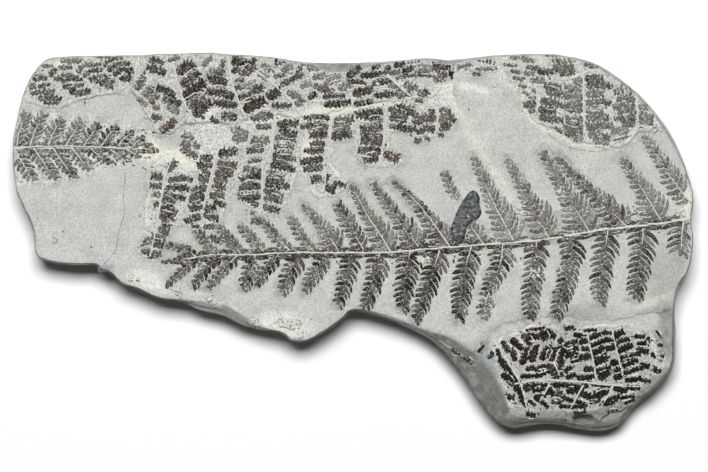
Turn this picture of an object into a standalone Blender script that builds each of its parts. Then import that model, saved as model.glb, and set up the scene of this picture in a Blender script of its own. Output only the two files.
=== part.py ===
"""Fossil fern plate: one broken slab of grey shale that lies flat, with ferns in low relief on it.

The slab is a single closed body. Its upper side is a triangulated bed that steps up and down
where thin layers have split away. Every fern frond on it is a raised stalk with tapering
leaflets, notched along both edges. Rings of points carry the broken side down to a flat base.
Lengths are in millimetres, and the last step turns them into metres. +X runs along the slab, +Y
towards its straighter long edge, +Z up; the origin is the middle of the base.
"""

import math

import bpy
import bmesh
from mathutils import Vector, noise
from mathutils.geometry import delaunay_2d_cdt

MILLIMETRE = 0.001

# ---- Driving dimensions, in millimetres ----
SLAB_LENGTH = 306.0
SLAB_WIDTH = 171.0
BED_HEIGHT = 20.0  # from the flat base to the middle of the fern bed
BASE_INSET = 5.0  # how far the flat base lies inside the widest outline
OUTLINE_STEP = 4.6
STEP_RUN = 1.4  # the width of the sloping face at a split layer's edge
SWELL = 0.5  # how far the split surface waves up and down
SWELL_LENGTH = 55.0
BREAK_ROUGHNESS = 1.1  # how far the broken side strays in and out
BREAK_LENGTH = 13.0
LOWER_BREAK_WAVE = 0.8  # how far each ring of the broken side strays up and down
LOWER_BREAK_LENGTH = 9.0
# Each ring of the broken side: share of the top slope still to go, tuck inwards, share of the height.
SIDE_PROFILE = ((0.55, 0.0, 0.86), (0.0, 0.0, 0.68), (0.0, 1.6, 0.28))
LAYER_EDGE_STEP = 6.0
RIM_GAP = 1.2  # from the top edge to the nearest layer edge or fern
STALK_STEP = 9.0
STALK_WIDTH = 1.8
STALK_HEIGHT = 0.9
STALK_CLEARANCE = 1.8  # from a stalk's middle to a leaflet's foot
LEAFLET_HEIGHT = 1.0
LEAFLET_SLIMNESS = 0.26  # the greatest half width, as a share of the length
LONG_FROND_LEAFLET = 6.6  # the greatest half width of a leaflet, frond by frond
LEFT_FROND_LEAFLET = 4.2
CORNER_FROND_LEAFLET = 4.2
LOBE_FROND_LEAFLET = 4.6
SHOULDER_HEIGHT = 0.65
SHOULDER_SPREAD = 0.74  # the shoulder's distance from the midrib, as a share of the edge's
NOTCH_SPACING = 5.2
NOTCH_REACH = 0.5  # a notch's distance from the midrib, as a share of a tooth's
SPRAY_SPACING = 7.5
SPRAY_LEAN = 0.45  # how far a spray's leaflets lean forward for each unit out
SPRAY_LEAF_WIDEST = 0.45  # where along it a spray's leaflet is widest
SPRAY_LEAF_WIDTH = 0.42  # its half width, as a share of the spacing
SPRAY_LEAF_SLIMNESS = 0.35  # the most that its half width may be, as a share of its reach
OPEN_BED_SPACING = 13.0
OPEN_BED_RIM_GAP = 4.0
OPEN_BED_POINT_GAP = 4.5

# ---- The slab's outline, anticlockwise from above: x, y, width of the slope at the top edge ----
OUTLINE = (
    (-153, 43, 0.8), (-152, 25.5, 0.8), (-148.5, 16, 1), (-144, 6, 1), (-143, -4.5, 1),
    (-139, -8.5, 1), (-126.5, -10.5, 1), (-116, -10.5, 1), (-114.5, -13.5, 2), (-109, -14.5, 1),
    (-104, -19, 1), (-96, -22, 1), (-87, -26, 1), (-76.5, -27.5, 1.5), (-69, -31, 4),
    (-59, -33.5, 5), (-49.5, -38, 4), (-41, -40, 1.5), (-32.5, -41.5, 1), (-27.5, -45, 1),
    (-20.5, -45, 1), (-13, -41, 1), (-4.5, -35, 1), (-0.5, -31.5, 1), (8.5, -33, 1.5),
    (21, -37, 2), (32, -42, 3), (41, -49, 8), (50.5, -61, 12), (57, -71.5, 12), (65, -81.3, 9),
    (72.5, -84.8, 6), (84, -82.8, 4), (94, -83.4, 5), (104, -85.8, 7), (112.5, -86, 7), (120.5, -83, 6),
    (126.3, -75.5, 5), (137, -66, 4), (144.2, -56.5, 4), (145, -43.5, 2), (144.7, -30, 2),
    (146.3, -20, 1.5), (151, -12, 1.5), (153, 1.5, 1), (152, 9.5, 1), (153, 19.5, 1.5),
    (151.5, 27.5, 2), (148, 38, 3), (141, 52, 3.5), (131, 64.5, 3), (121, 73.2, 3),
    (108.5, 81, 3), (91.5, 85, 2.5), (66, 84.8, 3), (44.5, 82.8, 5), (34.5, 83.2, 4),
    (16.5, 82, 4), (-6, 81.3, 5), (-24, 81.8, 4), (-35.5, 83.8, 2), (-53.5, 85, 1.2),
    (-67, 85.8, 1), (-85, 85.3, 1), (-96, 84.7, 1), (-109.5, 84.5, 1), (-125.5, 84.2, 1),
    (-137.5, 82.9, 1.2), (-144, 76.5, 1.2), (-148.5, 66.5, 1), (-151, 56, 0.8),
)

# ---- Layers that stand above the bed or have split away below it: rise, then the edge ----
CORNER_LAYER = (0.8, (
    (-159, 66.5), (-148.5, 63.5), (-139, 60.5), (-131, 61), (-116.5, 65.5), (-106, 67.5),
    (-99.5, 71.5), (-97.5, 77), (-96, 96), (-159, 96),
))
UPPER_LAYER = (1.6, (
    (-96, 96), (-99, 75.5), (-99.5, 68), (-95, 61.5), (-88.5, 50), (-82.5, 48.5), (-76, 53.5),
    (-58, 54.5), (-49, 55.5), (-41, 58.5), (-24, 56), (-10.5, 58.5), (-1.5, 61), (14, 63),
    (35.5, 65.5), (42, 73.5), (45, 96),
))
HANGING_LAYER = (0.7, (
    (44.5, 71.5), (47.5, 56), (41.5, 50), (29, 44.5), (26.5, 49.5), (17.5, 51), (15.5, 42),
    (22, 36), (14, 34), (6.5, 34), (1, 39), (0.5, 47.5), (-9, 45.5), (-10, 35), (-2.5, 25),
    (-8.5, 21), (-16, 20.5), (-21.5, 27.5), (-25, 33), (-28, 24), (-31.5, 16.5), (-40.5, 12.5),
    (-49, 18.5), (-54.5, 23), (-59, 11), (-67, 7), (-81.5, 7.5), (-86, 0.5), (-87, -7),
    (-96.5, -6.5), (-93.5, 9.5), (-93, 32), (-85.5, 38), (-74.5, 36.5), (-72, 42), (-76.5, 48),
    (-69, 60), (-10.5, 64.5),
))
BARE_HOLLOW = (-0.9, (
    (-73.5, 53.5), (-62.5, 54.5), (-53.5, 52), (-54, 45), (-66, 38.5), (-71, 43),
))
ISLAND_LAYER = (1.3, (
    (75, 96), (78.5, 75.5), (76, 64.5), (79.5, 57), (86, 52), (93, 50.5), (99.5, 45),
    (107.5, 44.5), (121, 43), (129, 49.5), (135.5, 52), (156, 51), (156, 96),
))
LOBE_DROP = (-2.4, (
    (23, -39), (35.5, -42.5), (43.5, -47), (50.5, -49), (57.5, -48.5), (60, -45), (62.5, -40),
    (68, -36.5), (79.5, -34), (93, -33.5), (108.5, -35), (124.5, -34), (135.5, -31.5),
    (160.5, -30), (160.5, -93), (23, -93),
))
LOBE_LAYER = (0.9, (
    (65.5, -43.5), (72.5, -41), (81.5, -37), (90.5, -37), (94.5, -39.5), (100.5, -38),
    (111, -37), (122, -38), (130, -40.5), (136.5, -43.5), (140.5, -50.5), (140.5, -58.5),
    (136.5, -64.5), (120, -70.5), (112, -75), (99.5, -76), (86, -75.5), (77, -80), (72, -75.5),
    (67.5, -69), (63, -60), (60.5, -52),
))
EDGE_NOTCH = (-3.2, ((34, 96), (37, 77), (42, 73.5), (44.5, 74), (45, 82), (46, 96)))
LAYERS = (
    CORNER_LAYER, UPPER_LAYER, HANGING_LAYER, BARE_HOLLOW, ISLAND_LAYER, LOBE_DROP, LOBE_LAYER,
    EDGE_NOTCH,
)

# ---- The two fronds seen whole: the stalk, then each leaflet's x on the stalk and its tip ----
MAIN_STALK = (
    (149, 10.5), (131, 7.5), (112.5, 5.5), (86.5, 2), (66, -0.5), (52.5, -2), (30, -3), (3, -3),
    (-29.5, -4), (-50, -5), (-62.5, -6), (-75, -7.5), (-85.5, -8.5),
)
MAIN_LEAFLETS = (
    (148, 130.5, 48.5), (139, 121, 38), (123.5, 92, 38), (112.5, 85.5, 41), (94.5, 69.5, 37.5),
    (78, 54, 38), (60, 40.5, 32.5), (45, 18, 28), (32, 9, 27), (18, -1.5, 25.5), (4.5, -7.5, 17),
    (-7, -22.5, 16.5), (-28.5, -41, 12), (-40.5, -53.5, 9.5), (-51, -67, 7.5), (-61.5, -76.5, 4),
    (130.5, 126, -24.5), (115.5, 109.5, -31), (99, 91, -32), (84.5, 78.5, -32), (67.5, 57.5, -32),
    (53.5, 47, -34), (40.5, 27, -34), (26.5, 20, -28.5), (13, 3.5, -28.5), (0, -7, -27.5),
    (-11.5, -24.5, -21.5), (-23.5, -34.5, -21.5), (-32.5, -45, -19.5), (-42.5, -51.5, -19),
    (-53, -64.5, -20.5), (-63, -74.5, -19.5),
)
LEFT_STALK = ((-149, 43), (-132, 43), (-109.5, 43), (-88.5, 43))
LEFT_LEAFLETS = (
    (-145.5, -140, 57.5), (-137.5, -131, 55), (-129.5, -122.5, 54), (-121, -115, 53),
    (-113.5, -108, 52), (-106, -100.5, 50), (-144, -134, 27.5), (-135, -126, 29),
    (-126, -118.5, 32.5), (-117, -110, 35.5), (-108.5, -103, 37.5),
)
CORNER_STALK = ((-144, 71), (-137, 76), (-125.5, 79), (-109.5, 80), (-97, 80))
CORNER_LEAFLETS = ((-142, -131, 62.5), (-135.5, -118.5, 65.5), (-125, -106.5, 69), (-113, -99, 73))

# ---- Broken sprays of the coarser fern: the stalk's points, reach to its left and to its right ----
SPRAYS = (
    (((-92, 72), (-90, 62), (-84, 52.5)), 6, 8),
    (((-83, 80), (-77, 66), (-71.5, 57)), 12, 11),
    (((-57, 81.5), (-54.5, 71), (-50, 59)), 12, 10),
    (((-43, 79), (-33.5, 69), (-24, 60)), 12, 12),
    (((-21, 78), (-14, 72), (-7, 63.5)), 11, 11),
    (((9, 78), (16.5, 74), (25, 67.5)), 11, 9),
    (((-77, 33), (-84, 30), (-87, 18), (-91, -4)), 7, 8),
    (((-60, 36), (-62, 32), (-66, 24), (-69, 10)), 11, 9),
    (((-36, 54), (-38.5, 40), (-41, 28.5), (-41, 15)), 9, 8),
    (((-9.5, 56), (-10.5, 44), (-13, 24)), 10, 4),
    (((14.5, 60), (14.5, 48), (11, 36)), 11, 5),
    (((38, 62), (37.5, 52)), 9, 6),
    (((83, 73), (82.5, 64.5), (84, 55)), 5, 9),
    (((104, 77), (103.5, 64.5), (104, 47)), 12, 12),
    (((127, 68), (127.5, 61), (128, 54)), 11, 6),
    (((76, -73.5), (71.5, -64), (66, -53.5)), 6, 7),
)
LOBE_STALK = ((75, -63.5), (90, -62.5), (104.5, -62.5), (118, -64), (132, -65))
LOBE_LEAFLETS = (
    (84, 74, -44), (96, 88, -39.5), (108, 104.5, -39), (121, 117, -39.5), (130.5, 131, -43.5),
    (90, 84, -73), (103.5, 97, -74.5), (116, 111, -72.5),
)

SHALE_GREY = (0.46, 0.465, 0.44, 1.0)  # linear colour


def clear_objects():
    for old in list(bpy.data.objects):
        bpy.data.objects.remove(old, do_unlink=True)


# ---- Plane geometry ----
def curve_through(points, step, closed=False):
    """Points about `step` apart on a smooth curve through all the given ones."""
    knots = [Vector(p) for p in points]
    count = len(knots)
    spans = count if closed else count - 1
    path = []
    for i in range(spans):
        a, b = knots[i], knots[(i + 1) % count]
        before = knots[i - 1] if closed or i else a
        after = knots[(i + 2) % count] if closed or i + 2 < count else b
        pieces = max(1, round((b.xy - a.xy).length / step))
        for k in range(pieces):
            t = k / pieces
            path.append(0.5 * ((2 * a) + (b - before) * t
                               + (2 * before - 5 * a + 4 * b - after) * t ** 2
                               + (3 * a - before - 3 * b + after) * t ** 3))
    return path if closed else path + [knots[-1]]


def left_normals(path, closed=False):
    """The unit direction to the left of the path at each of its points."""
    count = len(path)
    normals = []
    for i in range(count):
        ahead = path[(i + 1) % count] if closed or i + 1 < count else path[i]
        behind = path[i - 1] if closed or i else path[i]
        run = (ahead.xy - behind.xy).normalized()
        normals.append(Vector((-run.y, run.x)))
    return normals


def is_inside(point, loop):
    """Whether a closed loop goes round the point."""
    crossed = False
    for a, b in zip(loop, loop[1:] + loop[:1]):
        if (a.y > point.y) != (b.y > point.y):
            if point.x < a.x + (point.y - a.y) * (b.x - a.x) / (b.y - a.y):
                crossed = not crossed
    return crossed


def distance_to(point, path, closed=True):
    """The distance from the point to the nearest place on the path."""
    ends = path[1:] + path[:1] if closed else path[1:]
    nearest = math.inf
    for a, b in zip(path, ends):
        run = b.xy - a.xy
        t = max(0.0, min(1.0, (point - a.xy).dot(run) / max(run.length_squared, 1e-9)))
        nearest = min(nearest, (a.xy + run * t - point).length)
    return nearest


# ---- The slab's height ----
LAYER_EDGES = [(rise, [Vector(p) for p in edge]) for rise, edge in LAYERS]


def wave(x, y, length):
    return noise.noise(Vector((x / length, y / length, 0.0)))


def bed_level(point):
    """The height of the split surface: the bed, its swell, the highest layer there and any drop."""
    risen, dropped = 0.0, 0.0
    for rise, edge in LAYER_EDGES:
        away = distance_to(point, edge)
        depth = away if is_inside(point, edge) else -away
        share = rise * max(0.0, min(1.0, 0.5 + depth / STEP_RUN))
        risen = max(risen, share)
        dropped = min(dropped, share)
    return BED_HEIGHT + SWELL * wave(point.x, point.y, SWELL_LENGTH) + risen + dropped


class Bed:
    """The points and fixed edges of the upper side, each point with its relief above the bed."""

    def __init__(self, rim):
        self.rim = rim
        self.points, self.relief, self.edges = [], [], []
        self.add_path(rim, [0.0] * len(rim), closed=True)

    def add_path(self, path, relief, closed=False):
        first = len(self.points)
        self.points += [Vector(p.xy) for p in path]
        self.relief += list(relief)
        self.edges += [(first + i, first + i + 1) for i in range(len(path) - 1)]
        if closed:
            self.edges.append((first + len(path) - 1, first))

    def is_clear_of_rim(self, point, gap):
        return is_inside(point, self.rim) and distance_to(point, self.rim) > gap

    def add_runs(self, path, relief_of_path):
        """The stretches of a path that lie inside the rim."""
        run, heights = [], []
        for point, height in zip(path, relief_of_path):
            if self.is_clear_of_rim(point, RIM_GAP):
                run.append(point)
                heights.append(height)
                continue
            if len(run) > 1:
                self.add_path(run, heights)
            run, heights = [], []
        if len(run) > 1:
            self.add_path(run, heights)


def add_layer_edges(bed):
    """Both edges of the sloping face round each split layer."""
    for _, edge in LAYER_EDGES:
        path = curve_through([p.to_3d() for p in edge], LAYER_EDGE_STEP, closed=True)
        path.append(path[0])
        for side in (-0.5, 0.5):
            normals = left_normals(path)
            line = [p.xy + n * side * STEP_RUN for p, n in zip(path, normals)]
            bed.add_runs(line, [0.0] * len(line))


# ---- Ferns ----
def add_stalk(bed, points):
    """A raised stalk: its crown line between two low edges."""
    path = curve_through([Vector(p).to_3d() for p in points], STALK_STEP)
    normals = left_normals(path)
    bed.add_runs([p.xy for p in path], [STALK_HEIGHT] * len(path))
    for side in (-0.5, 0.5):
        line = [p.xy + n * side * STALK_WIDTH for p, n in zip(path, normals)]
        bed.add_runs(line, [0.0] * len(line))
    return path


def leaflet_half_width(t, widest):
    """Half the leaflet's width at t from its base (0) to its tip (1)."""
    return widest * min(1.0, 0.7 + 2.5 * t) * (1.0 - t ** 1.7)


def leaflet_edge(base, tip, widest, side, spread):
    """One notched edge of a leaflet, from its base to its tip; spread 1 is the outer edge."""
    run = tip - base
    across = Vector((-run.y, run.x)).normalized() * side
    notches = max(2, round(run.length / NOTCH_SPACING))
    line = [base]
    for i in range(notches):
        for part, reach in ((0.1, NOTCH_REACH), (0.8, 1.0)):
            t = (i + part) / notches
            line.append(base + run * t + across * leaflet_half_width(t, widest) * reach * spread)
    return line + [tip]


def add_leaflet(bed, base, tip, widest):
    """A leaflet: a raised midrib, a shoulder round it, and a row of notches down each edge."""
    for side in (-1, 1):
        outer = leaflet_edge(base, tip, widest, side, 1.0)
        shoulder = leaflet_edge(base, tip, widest, side, SHOULDER_SPREAD)[1:-1]
        bed.add_runs(outer, [0.0] * len(outer))
        bed.add_runs(shoulder, [SHOULDER_HEIGHT] * len(shoulder))
    rib = [base.lerp(tip, t) for t in (0.03, 0.35, 0.7, 0.96)]
    bed.add_runs(rib, (SHOULDER_HEIGHT, LEAFLET_HEIGHT, LEAFLET_HEIGHT, SHOULDER_HEIGHT))


def point_at_x(path, x):
    """The point of a path that runs along the slab, at this x."""
    for a, b in zip(path, path[1:]):
        if min(a.x, b.x) <= x <= max(a.x, b.x):
            return a.xy.lerp(b.xy, (x - a.x) / (b.x - a.x))
    return path[0].xy if abs(path[0].x - x) < abs(path[-1].x - x) else path[-1].xy


def add_frond(bed, stalk, leaflets, widest):
    """A stalk with the leaflets that spring from it, each clear of the stalk's edge."""
    path = add_stalk(bed, stalk)
    for x, tip_x, tip_y in leaflets:
        root = point_at_x(path, x)
        tip = Vector((tip_x, tip_y))
        length = (tip - root).length
        start = root.lerp(tip, STALK_CLEARANCE / length)
        add_leaflet(bed, start, tip, min(widest, length * LEAFLET_SLIMNESS))


def add_spray(bed, points, reach_left, reach_right):
    """A stalk with short leaflets at even spacing, which lean towards its far end."""
    add_stalk(bed, points)
    dense = curve_through([Vector(p).to_3d() for p in points], SPRAY_SPACING)
    for place, normal in list(zip(dense, left_normals(dense)))[:-1]:
        forward = Vector((normal.y, -normal.x))
        for reach, side in ((reach_left, 1), (reach_right, -1)):
            out = (normal * side + forward * SPRAY_LEAN).normalized()
            base = place.xy + out * STALK_CLEARANCE
            tip = place.xy + out * reach
            middle = base.lerp(tip, SPRAY_LEAF_WIDEST)
            half_width = min(SPRAY_SPACING * SPRAY_LEAF_WIDTH, reach * SPRAY_LEAF_SLIMNESS)
            across = Vector((-out.y, out.x)) * half_width
            leaf = [base, middle + across, tip, middle - across, base]
            bed.add_runs(leaf, [0.0] * len(leaf))
            bed.add_runs([base.lerp(tip, 0.1), middle, base.lerp(tip, 0.9)], [LEAFLET_HEIGHT] * 3)


# ---- The solid ----
def slab_rim_and_outline():
    """The widest outline, centred and at its stated size, and the top edge inside it."""
    outline = curve_through(OUTLINE, OUTLINE_STEP, closed=True)
    for axis, size in ((0, SLAB_LENGTH), (1, SLAB_WIDTH)):
        low = min(p[axis] for p in outline)
        high = max(p[axis] for p in outline)
        for place in outline:
            place[axis] = (place[axis] - (low + high) / 2) * size / (high - low)
    normals = left_normals(outline, closed=True)
    rim = [p.xy + n * p.z for p, n in zip(outline, normals)]
    return outline, normals, rim


def add_open_bed(bed):
    """Points on the bare bed, so that its swell shows between the ferns."""
    columns = round(SLAB_LENGTH / OPEN_BED_SPACING)
    rows = round(SLAB_WIDTH / OPEN_BED_SPACING)
    taken = list(bed.points)
    for row in range(rows + 1):
        for column in range(columns + 1):
            stagger = 0.5 if row % 2 else 0.0
            x = ((column + stagger) / columns - 0.5) * SLAB_LENGTH
            y = (row / rows - 0.5) * SLAB_WIDTH
            point = Vector((x, y))
            if not bed.is_clear_of_rim(point, OPEN_BED_RIM_GAP):
                continue
            if all((point - other).length > OPEN_BED_POINT_GAP for other in taken):
                bed.points.append(point)
                bed.relief.append(0.0)


def upper_side(bed):
    """The bed's triangles inside the rim, and every vertex in space."""
    merge_within = 0.05
    flat, lines, faces, origins, _, _ = delaunay_2d_cdt(bed.points, bed.edges, [], 0, merge_within)
    relief = [max((bed.relief[i] for i in known), default=None) for known in origins]
    beside = [[] for _ in flat]
    for a, b in lines:
        beside[a].append(relief[b])
        beside[b].append(relief[a])
    vertices = []
    for place, height, near in zip(flat, relief, beside):
        if height is None:  # two fixed edges cross here
            near = [h for h in near if h is not None]
            height = sum(near) / max(1, len(near))
        vertices.append(Vector((place.x, place.y, bed_level(place) + height)))
    rim_index = {}
    for index, known in enumerate(origins):
        for i in known:
            if i < len(bed.rim):
                rim_index[i] = index
    inner = []
    for face in faces:
        centre = sum((flat[i] for i in face), Vector((0.0, 0.0))) / len(face)
        if is_inside(centre, bed.rim):
            inner.append(face)
    return vertices, inner, [rim_index[i] for i in range(len(bed.rim))]


def break_offset(point, ring):
    """How far the broken side strays outwards at this place on this ring."""
    here = Vector((point.x / BREAK_LENGTH, point.y / BREAK_LENGTH, ring * 1.7))
    return BREAK_ROUGHNESS * noise.noise(here)


def side_rings(outline, normals, rim_heights):
    """The rings of points from the rim down to the base."""
    rings = []
    for ring, (slope_share, tuck, height_share) in enumerate(SIDE_PROFILE):
        points = []
        for place, inward, height in zip(outline, normals, rim_heights):
            inset = place.z * slope_share + tuck + break_offset(place, ring) * (1.0 if ring else 0.5)
            flat = place.xy + inward * max(inset, 0.0)
            stray = LOWER_BREAK_WAVE * wave(flat.x, flat.y, LOWER_BREAK_LENGTH)
            points.append(Vector((flat.x, flat.y, height * height_share + stray)))
        rings.append(points)
    base = [place.xy + inward * BASE_INSET for place, inward in zip(outline, normals)]
    rings.append([Vector((p.x, p.y, 0.0)) for p in base])
    return rings


def build_slab():
    outline, normals, rim = slab_rim_and_outline()
    bed = Bed(rim)
    add_layer_edges(bed)
    add_frond(bed, MAIN_STALK, MAIN_LEAFLETS, LONG_FROND_LEAFLET)
    add_frond(bed, LEFT_STALK, LEFT_LEAFLETS, LEFT_FROND_LEAFLET)
    add_frond(bed, CORNER_STALK, CORNER_LEAFLETS, CORNER_FROND_LEAFLET)
    add_frond(bed, LOBE_STALK, LOBE_LEAFLETS, LOBE_FROND_LEAFLET)
    for points, reach_left, reach_right in SPRAYS:
        add_spray(bed, points, reach_left, reach_right)
    add_open_bed(bed)
    vertices, faces, rim_index = upper_side(bed)

    mesh = bmesh.new()
    verts = [mesh.verts.new(v * MILLIMETRE) for v in vertices]
    for face in faces:
        mesh.faces.new([verts[i] for i in face])
    above = [verts[i] for i in rim_index]
    for ring in side_rings(outline, normals, [vertices[i].z for i in rim_index]):
        below = [mesh.verts.new(p * MILLIMETRE) for p in ring]
        count = len(below)
        for i in range(count):
            after = (i + 1) % count
            mesh.faces.new((above[i], below[i], below[after], above[after]))
        above = below
    mesh.faces.new(list(reversed(above)))
    loose = [v for v in mesh.verts if not v.link_faces]
    bmesh.ops.delete(mesh, geom=loose, context="VERTS")
    bmesh.ops.triangulate(mesh, faces=mesh.faces[:])
    bmesh.ops.recalc_face_normals(mesh, faces=mesh.faces[:])
    return mesh


def shale_material():
    material = bpy.data.materials.new("shale")
    material.use_nodes = True
    shader = material.node_tree.nodes["Principled BSDF"]
    shader.inputs["Base Color"].default_value = SHALE_GREY
    shader.inputs["Roughness"].default_value = 0.9
    shader.inputs["Metallic"].default_value = 0.0
    material.diffuse_color = SHALE_GREY
    return material


def add_fern_plate():
    mesh = bpy.data.meshes.new("fern_plate")
    slab = build_slab()
    slab.to_mesh(mesh)
    slab.free()
    mesh.materials.append(shale_material())
    plate = bpy.data.objects.new("fern_plate", mesh)
    bpy.context.scene.collection.objects.link(plate)
    return plate


clear_objects()
add_fern_plate()
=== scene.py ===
"""Fossil fern plate: a broken sheet of pale shale with carbonised fern fronds on its split face.

It lies on its back. Lengths are in millimetres until a mesh is made, and places are seen from
above: +X along the slab towards its rounded end, +Y towards its straighter long edge.
"""

import math
import random

import bpy
import numpy as np
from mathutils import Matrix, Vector, noise
from mathutils.bvhtree import BVHTree
from mathutils.geometry import delaunay_2d_cdt


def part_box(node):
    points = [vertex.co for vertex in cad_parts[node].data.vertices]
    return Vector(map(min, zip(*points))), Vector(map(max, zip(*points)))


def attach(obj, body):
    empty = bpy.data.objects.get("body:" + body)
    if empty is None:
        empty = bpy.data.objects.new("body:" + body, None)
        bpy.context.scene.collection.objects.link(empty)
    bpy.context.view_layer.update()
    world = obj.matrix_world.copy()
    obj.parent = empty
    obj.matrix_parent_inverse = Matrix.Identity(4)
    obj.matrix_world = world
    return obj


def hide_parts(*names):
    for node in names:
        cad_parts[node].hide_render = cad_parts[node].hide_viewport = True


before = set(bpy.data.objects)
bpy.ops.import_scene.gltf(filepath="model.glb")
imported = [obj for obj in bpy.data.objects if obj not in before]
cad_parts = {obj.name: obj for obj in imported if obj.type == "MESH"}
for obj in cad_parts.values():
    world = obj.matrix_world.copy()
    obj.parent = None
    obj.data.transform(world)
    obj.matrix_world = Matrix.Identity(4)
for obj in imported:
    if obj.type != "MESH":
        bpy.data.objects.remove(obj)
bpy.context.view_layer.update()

# ==== The slab =====================================================================
# Fine-grained grey shale, split along its bedding so that the ferns lie bare, and broken by
# hand all round. Thin layers still cling to the split face, each with a ragged edge, and the
# broken sides show the bedding as low steps. It rests on its back, another split face.
SLAB_NODE = "fern_plate"
MILLIMETRE = 0.001
SLAB_LOW, SLAB_HIGH = (Vector(corner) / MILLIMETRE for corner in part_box(SLAB_NODE))
BED_HEIGHT = 20.0  # from the table up to the bare split face
BASE_INSET = 5.0  # how far the face it rests on lies inside the outline
BREAK_LOSS = 0.6  # how much smaller the slab comes out, because its broken sides stray inwards
OUTLINE = (  # x, y, width of the slope at the top edge
    (-153, 43, 0.5), (-152, 25.5, 0.6), (-148.5, 16, 0.8), (-144, 6, 0.8), (-143, -4.5, 0.8),
    (-139, -8.5, 1), (-126.5, -10.5, 1), (-116, -10.5, 1), (-114.5, -13.5, 2), (-109, -14.5, 1),
    (-104, -19, 1), (-96, -22, 1), (-87, -26, 1), (-76.5, -27.5, 1.5), (-69, -31, 4),
    (-59, -33.5, 5), (-49.5, -38, 4), (-41, -40, 1.5), (-32.5, -41.5, 1), (-27.5, -45, 1),
    (-20.5, -45, 1), (-13, -41, 1), (-4.5, -35, 1), (-0.5, -31.5, 1), (8.5, -33, 1.5),
    (21, -37.3, 2), (31.7, -42.7, 3), (40.4, -50, 8), (49.7, -62, 12), (56.4, -72.2, 12), (64.6, -81.7, 9),
    (72.5, -84.8, 6), (84, -82.8, 3), (94, -83.4, 3), (104, -85.8, 4), (112.5, -86, 4), (120.5, -83, 3),
    (126.3, -75.5, 2), (137, -66, 2), (144.2, -56.5, 2), (145, -43.5, 1.7), (144.7, -30, 1.1),
    (146.3, -20, 0.8), (151, -12, 0.8), (153, 1.5, 0.7), (152, 9.5, 0.7), (153, 19.5, 0.8),
    (151.5, 27.5, 0.9), (148, 38, 1.4), (141, 52, 1.8), (131, 64.5, 1.8), (121, 73.2, 1.6),
    (108.5, 81, 1.5), (91.5, 85, 0.8), (66, 84.8, 0.8), (44.5, 82.8, 2), (34.5, 83.2, 0.8),
    (16.5, 82, 1), (-6, 81.3, 4.5), (-24, 81.8, 1.5), (-35.5, 83.8, 0.6), (-53.5, 85, 0.6),
    (-67, 85.8, 0.6), (-85, 85.3, 0.6), (-96, 84.7, 0.6), (-109.5, 84.5, 0.6), (-125.5, 84.2, 0.6),
    (-137.5, 82.9, 0.8), (-144, 76.5, 0.8), (-148.5, 66.5, 0.6), (-151, 56, 0.5),
)
# Layers that cling to the bed, or have come away below it: rise, width of the step, then the edge.
CORNER_LAYER = (0.8, 0.8, (
    (-159, 66.5), (-148.5, 63.5), (-139, 60.5), (-131, 61), (-116.5, 65.5), (-106, 67.5),
    (-99.5, 71.5), (-97.5, 77), (-96, 96), (-159, 96),
))
UPPER_LAYER = (1.6, 0.8, (
    (-96, 96), (-99, 75.5), (-99.5, 68), (-95, 61.5), (-88.5, 50), (-82.5, 48.5), (-76, 53.5),
    (-58, 54.5), (-49, 55.5), (-41, 58.5), (-24, 56), (-10.5, 58.5), (-1.5, 61), (14, 63),
    (35.5, 65.5), (42, 73.5), (45, 96),
))
HANGING_LAYER = (0.7, 0.8, (
    (44.5, 71.5), (47.5, 56), (41.5, 50), (29, 44.5), (26.5, 49.5), (17.5, 51), (15.5, 42),
    (22, 36), (14, 34), (6.5, 34), (1, 39), (0.5, 47.5), (-9, 45.5), (-10, 35), (-2.5, 25),
    (-8.5, 21), (-16, 20.5), (-21.5, 27.5), (-25, 33), (-28, 24), (-31.5, 16.5), (-40.5, 12.5),
    (-49, 18.5), (-54.5, 23), (-59, 11), (-67, 7), (-81.5, 7.5), (-86, 0.5), (-87, -7),
    (-96.5, -6.5), (-93.5, 9.5), (-93, 32), (-85.5, 38), (-74.5, 36.5), (-72, 42), (-76.5, 48),
    (-69, 60), (-10.5, 64.5),
))
BARE_HOLLOW = (-0.9, 0.8, (
    (-73.5, 53.5), (-62.5, 54.5), (-53.5, 52), (-54, 45), (-66, 38.5), (-71, 43),
))
ISLAND_LAYER = (1.3, 0.8, (
    (75, 96), (78.5, 75.5), (76, 64.5), (79.5, 57), (86, 52), (93, 50.5), (99.5, 45),
    (107.5, 44.5), (121, 43), (129, 49.5), (135.5, 52), (156, 51), (156, 96),
))
LOBE_DROP = (-1.4, 4.5, (
    (23, -39), (35.5, -42.5), (43.5, -47), (50.5, -49), (57.5, -48.5), (60, -45), (62.5, -40),
    (68, -36.5), (79.5, -34), (93, -33.5), (108.5, -35), (124.5, -34), (135.5, -31.5),
    (160.5, -30), (160.5, -93), (23, -93),
))
LOBE_LEDGE = (-0.45, 0.5, LOBE_DROP[2])
LOBE_LAYER = (0.8, 1.4, (
    (65.5, -43.5), (72.5, -41), (81.5, -37), (90.5, -37), (94.5, -39.5), (100.5, -38),
    (111, -37), (122, -38), (130, -40.5), (136.5, -43.5), (140.5, -50.5), (140.5, -58.5),
    (136.5, -64.5), (120, -70.5), (112, -75), (99.5, -76), (86, -75.5), (77, -80), (72, -75.5),
    (67.5, -69), (63, -60), (60.5, -52),
))
LOBE_BREAK = (-3.0, 0.7, (
    (93, -83), (98.8, -80.2), (102.4, -78.6), (106.7, -79.4), (110.9, -80.2), (115.9, -76.6),
    (120.8, -75.9), (125.1, -72.6), (129, -69.4), (145, -69), (145, -95), (93, -95),
))
UNDERCUT = (103.5, -79.4, 4.4, 1.8, 5.0)  # x, y, half length, half width, depth
EDGE_NOTCH = (-3.2, 1.2, ((34, 96), (37, 77), (42, 73.5), (44.5, 74), (45, 82), (46, 96)))
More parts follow.
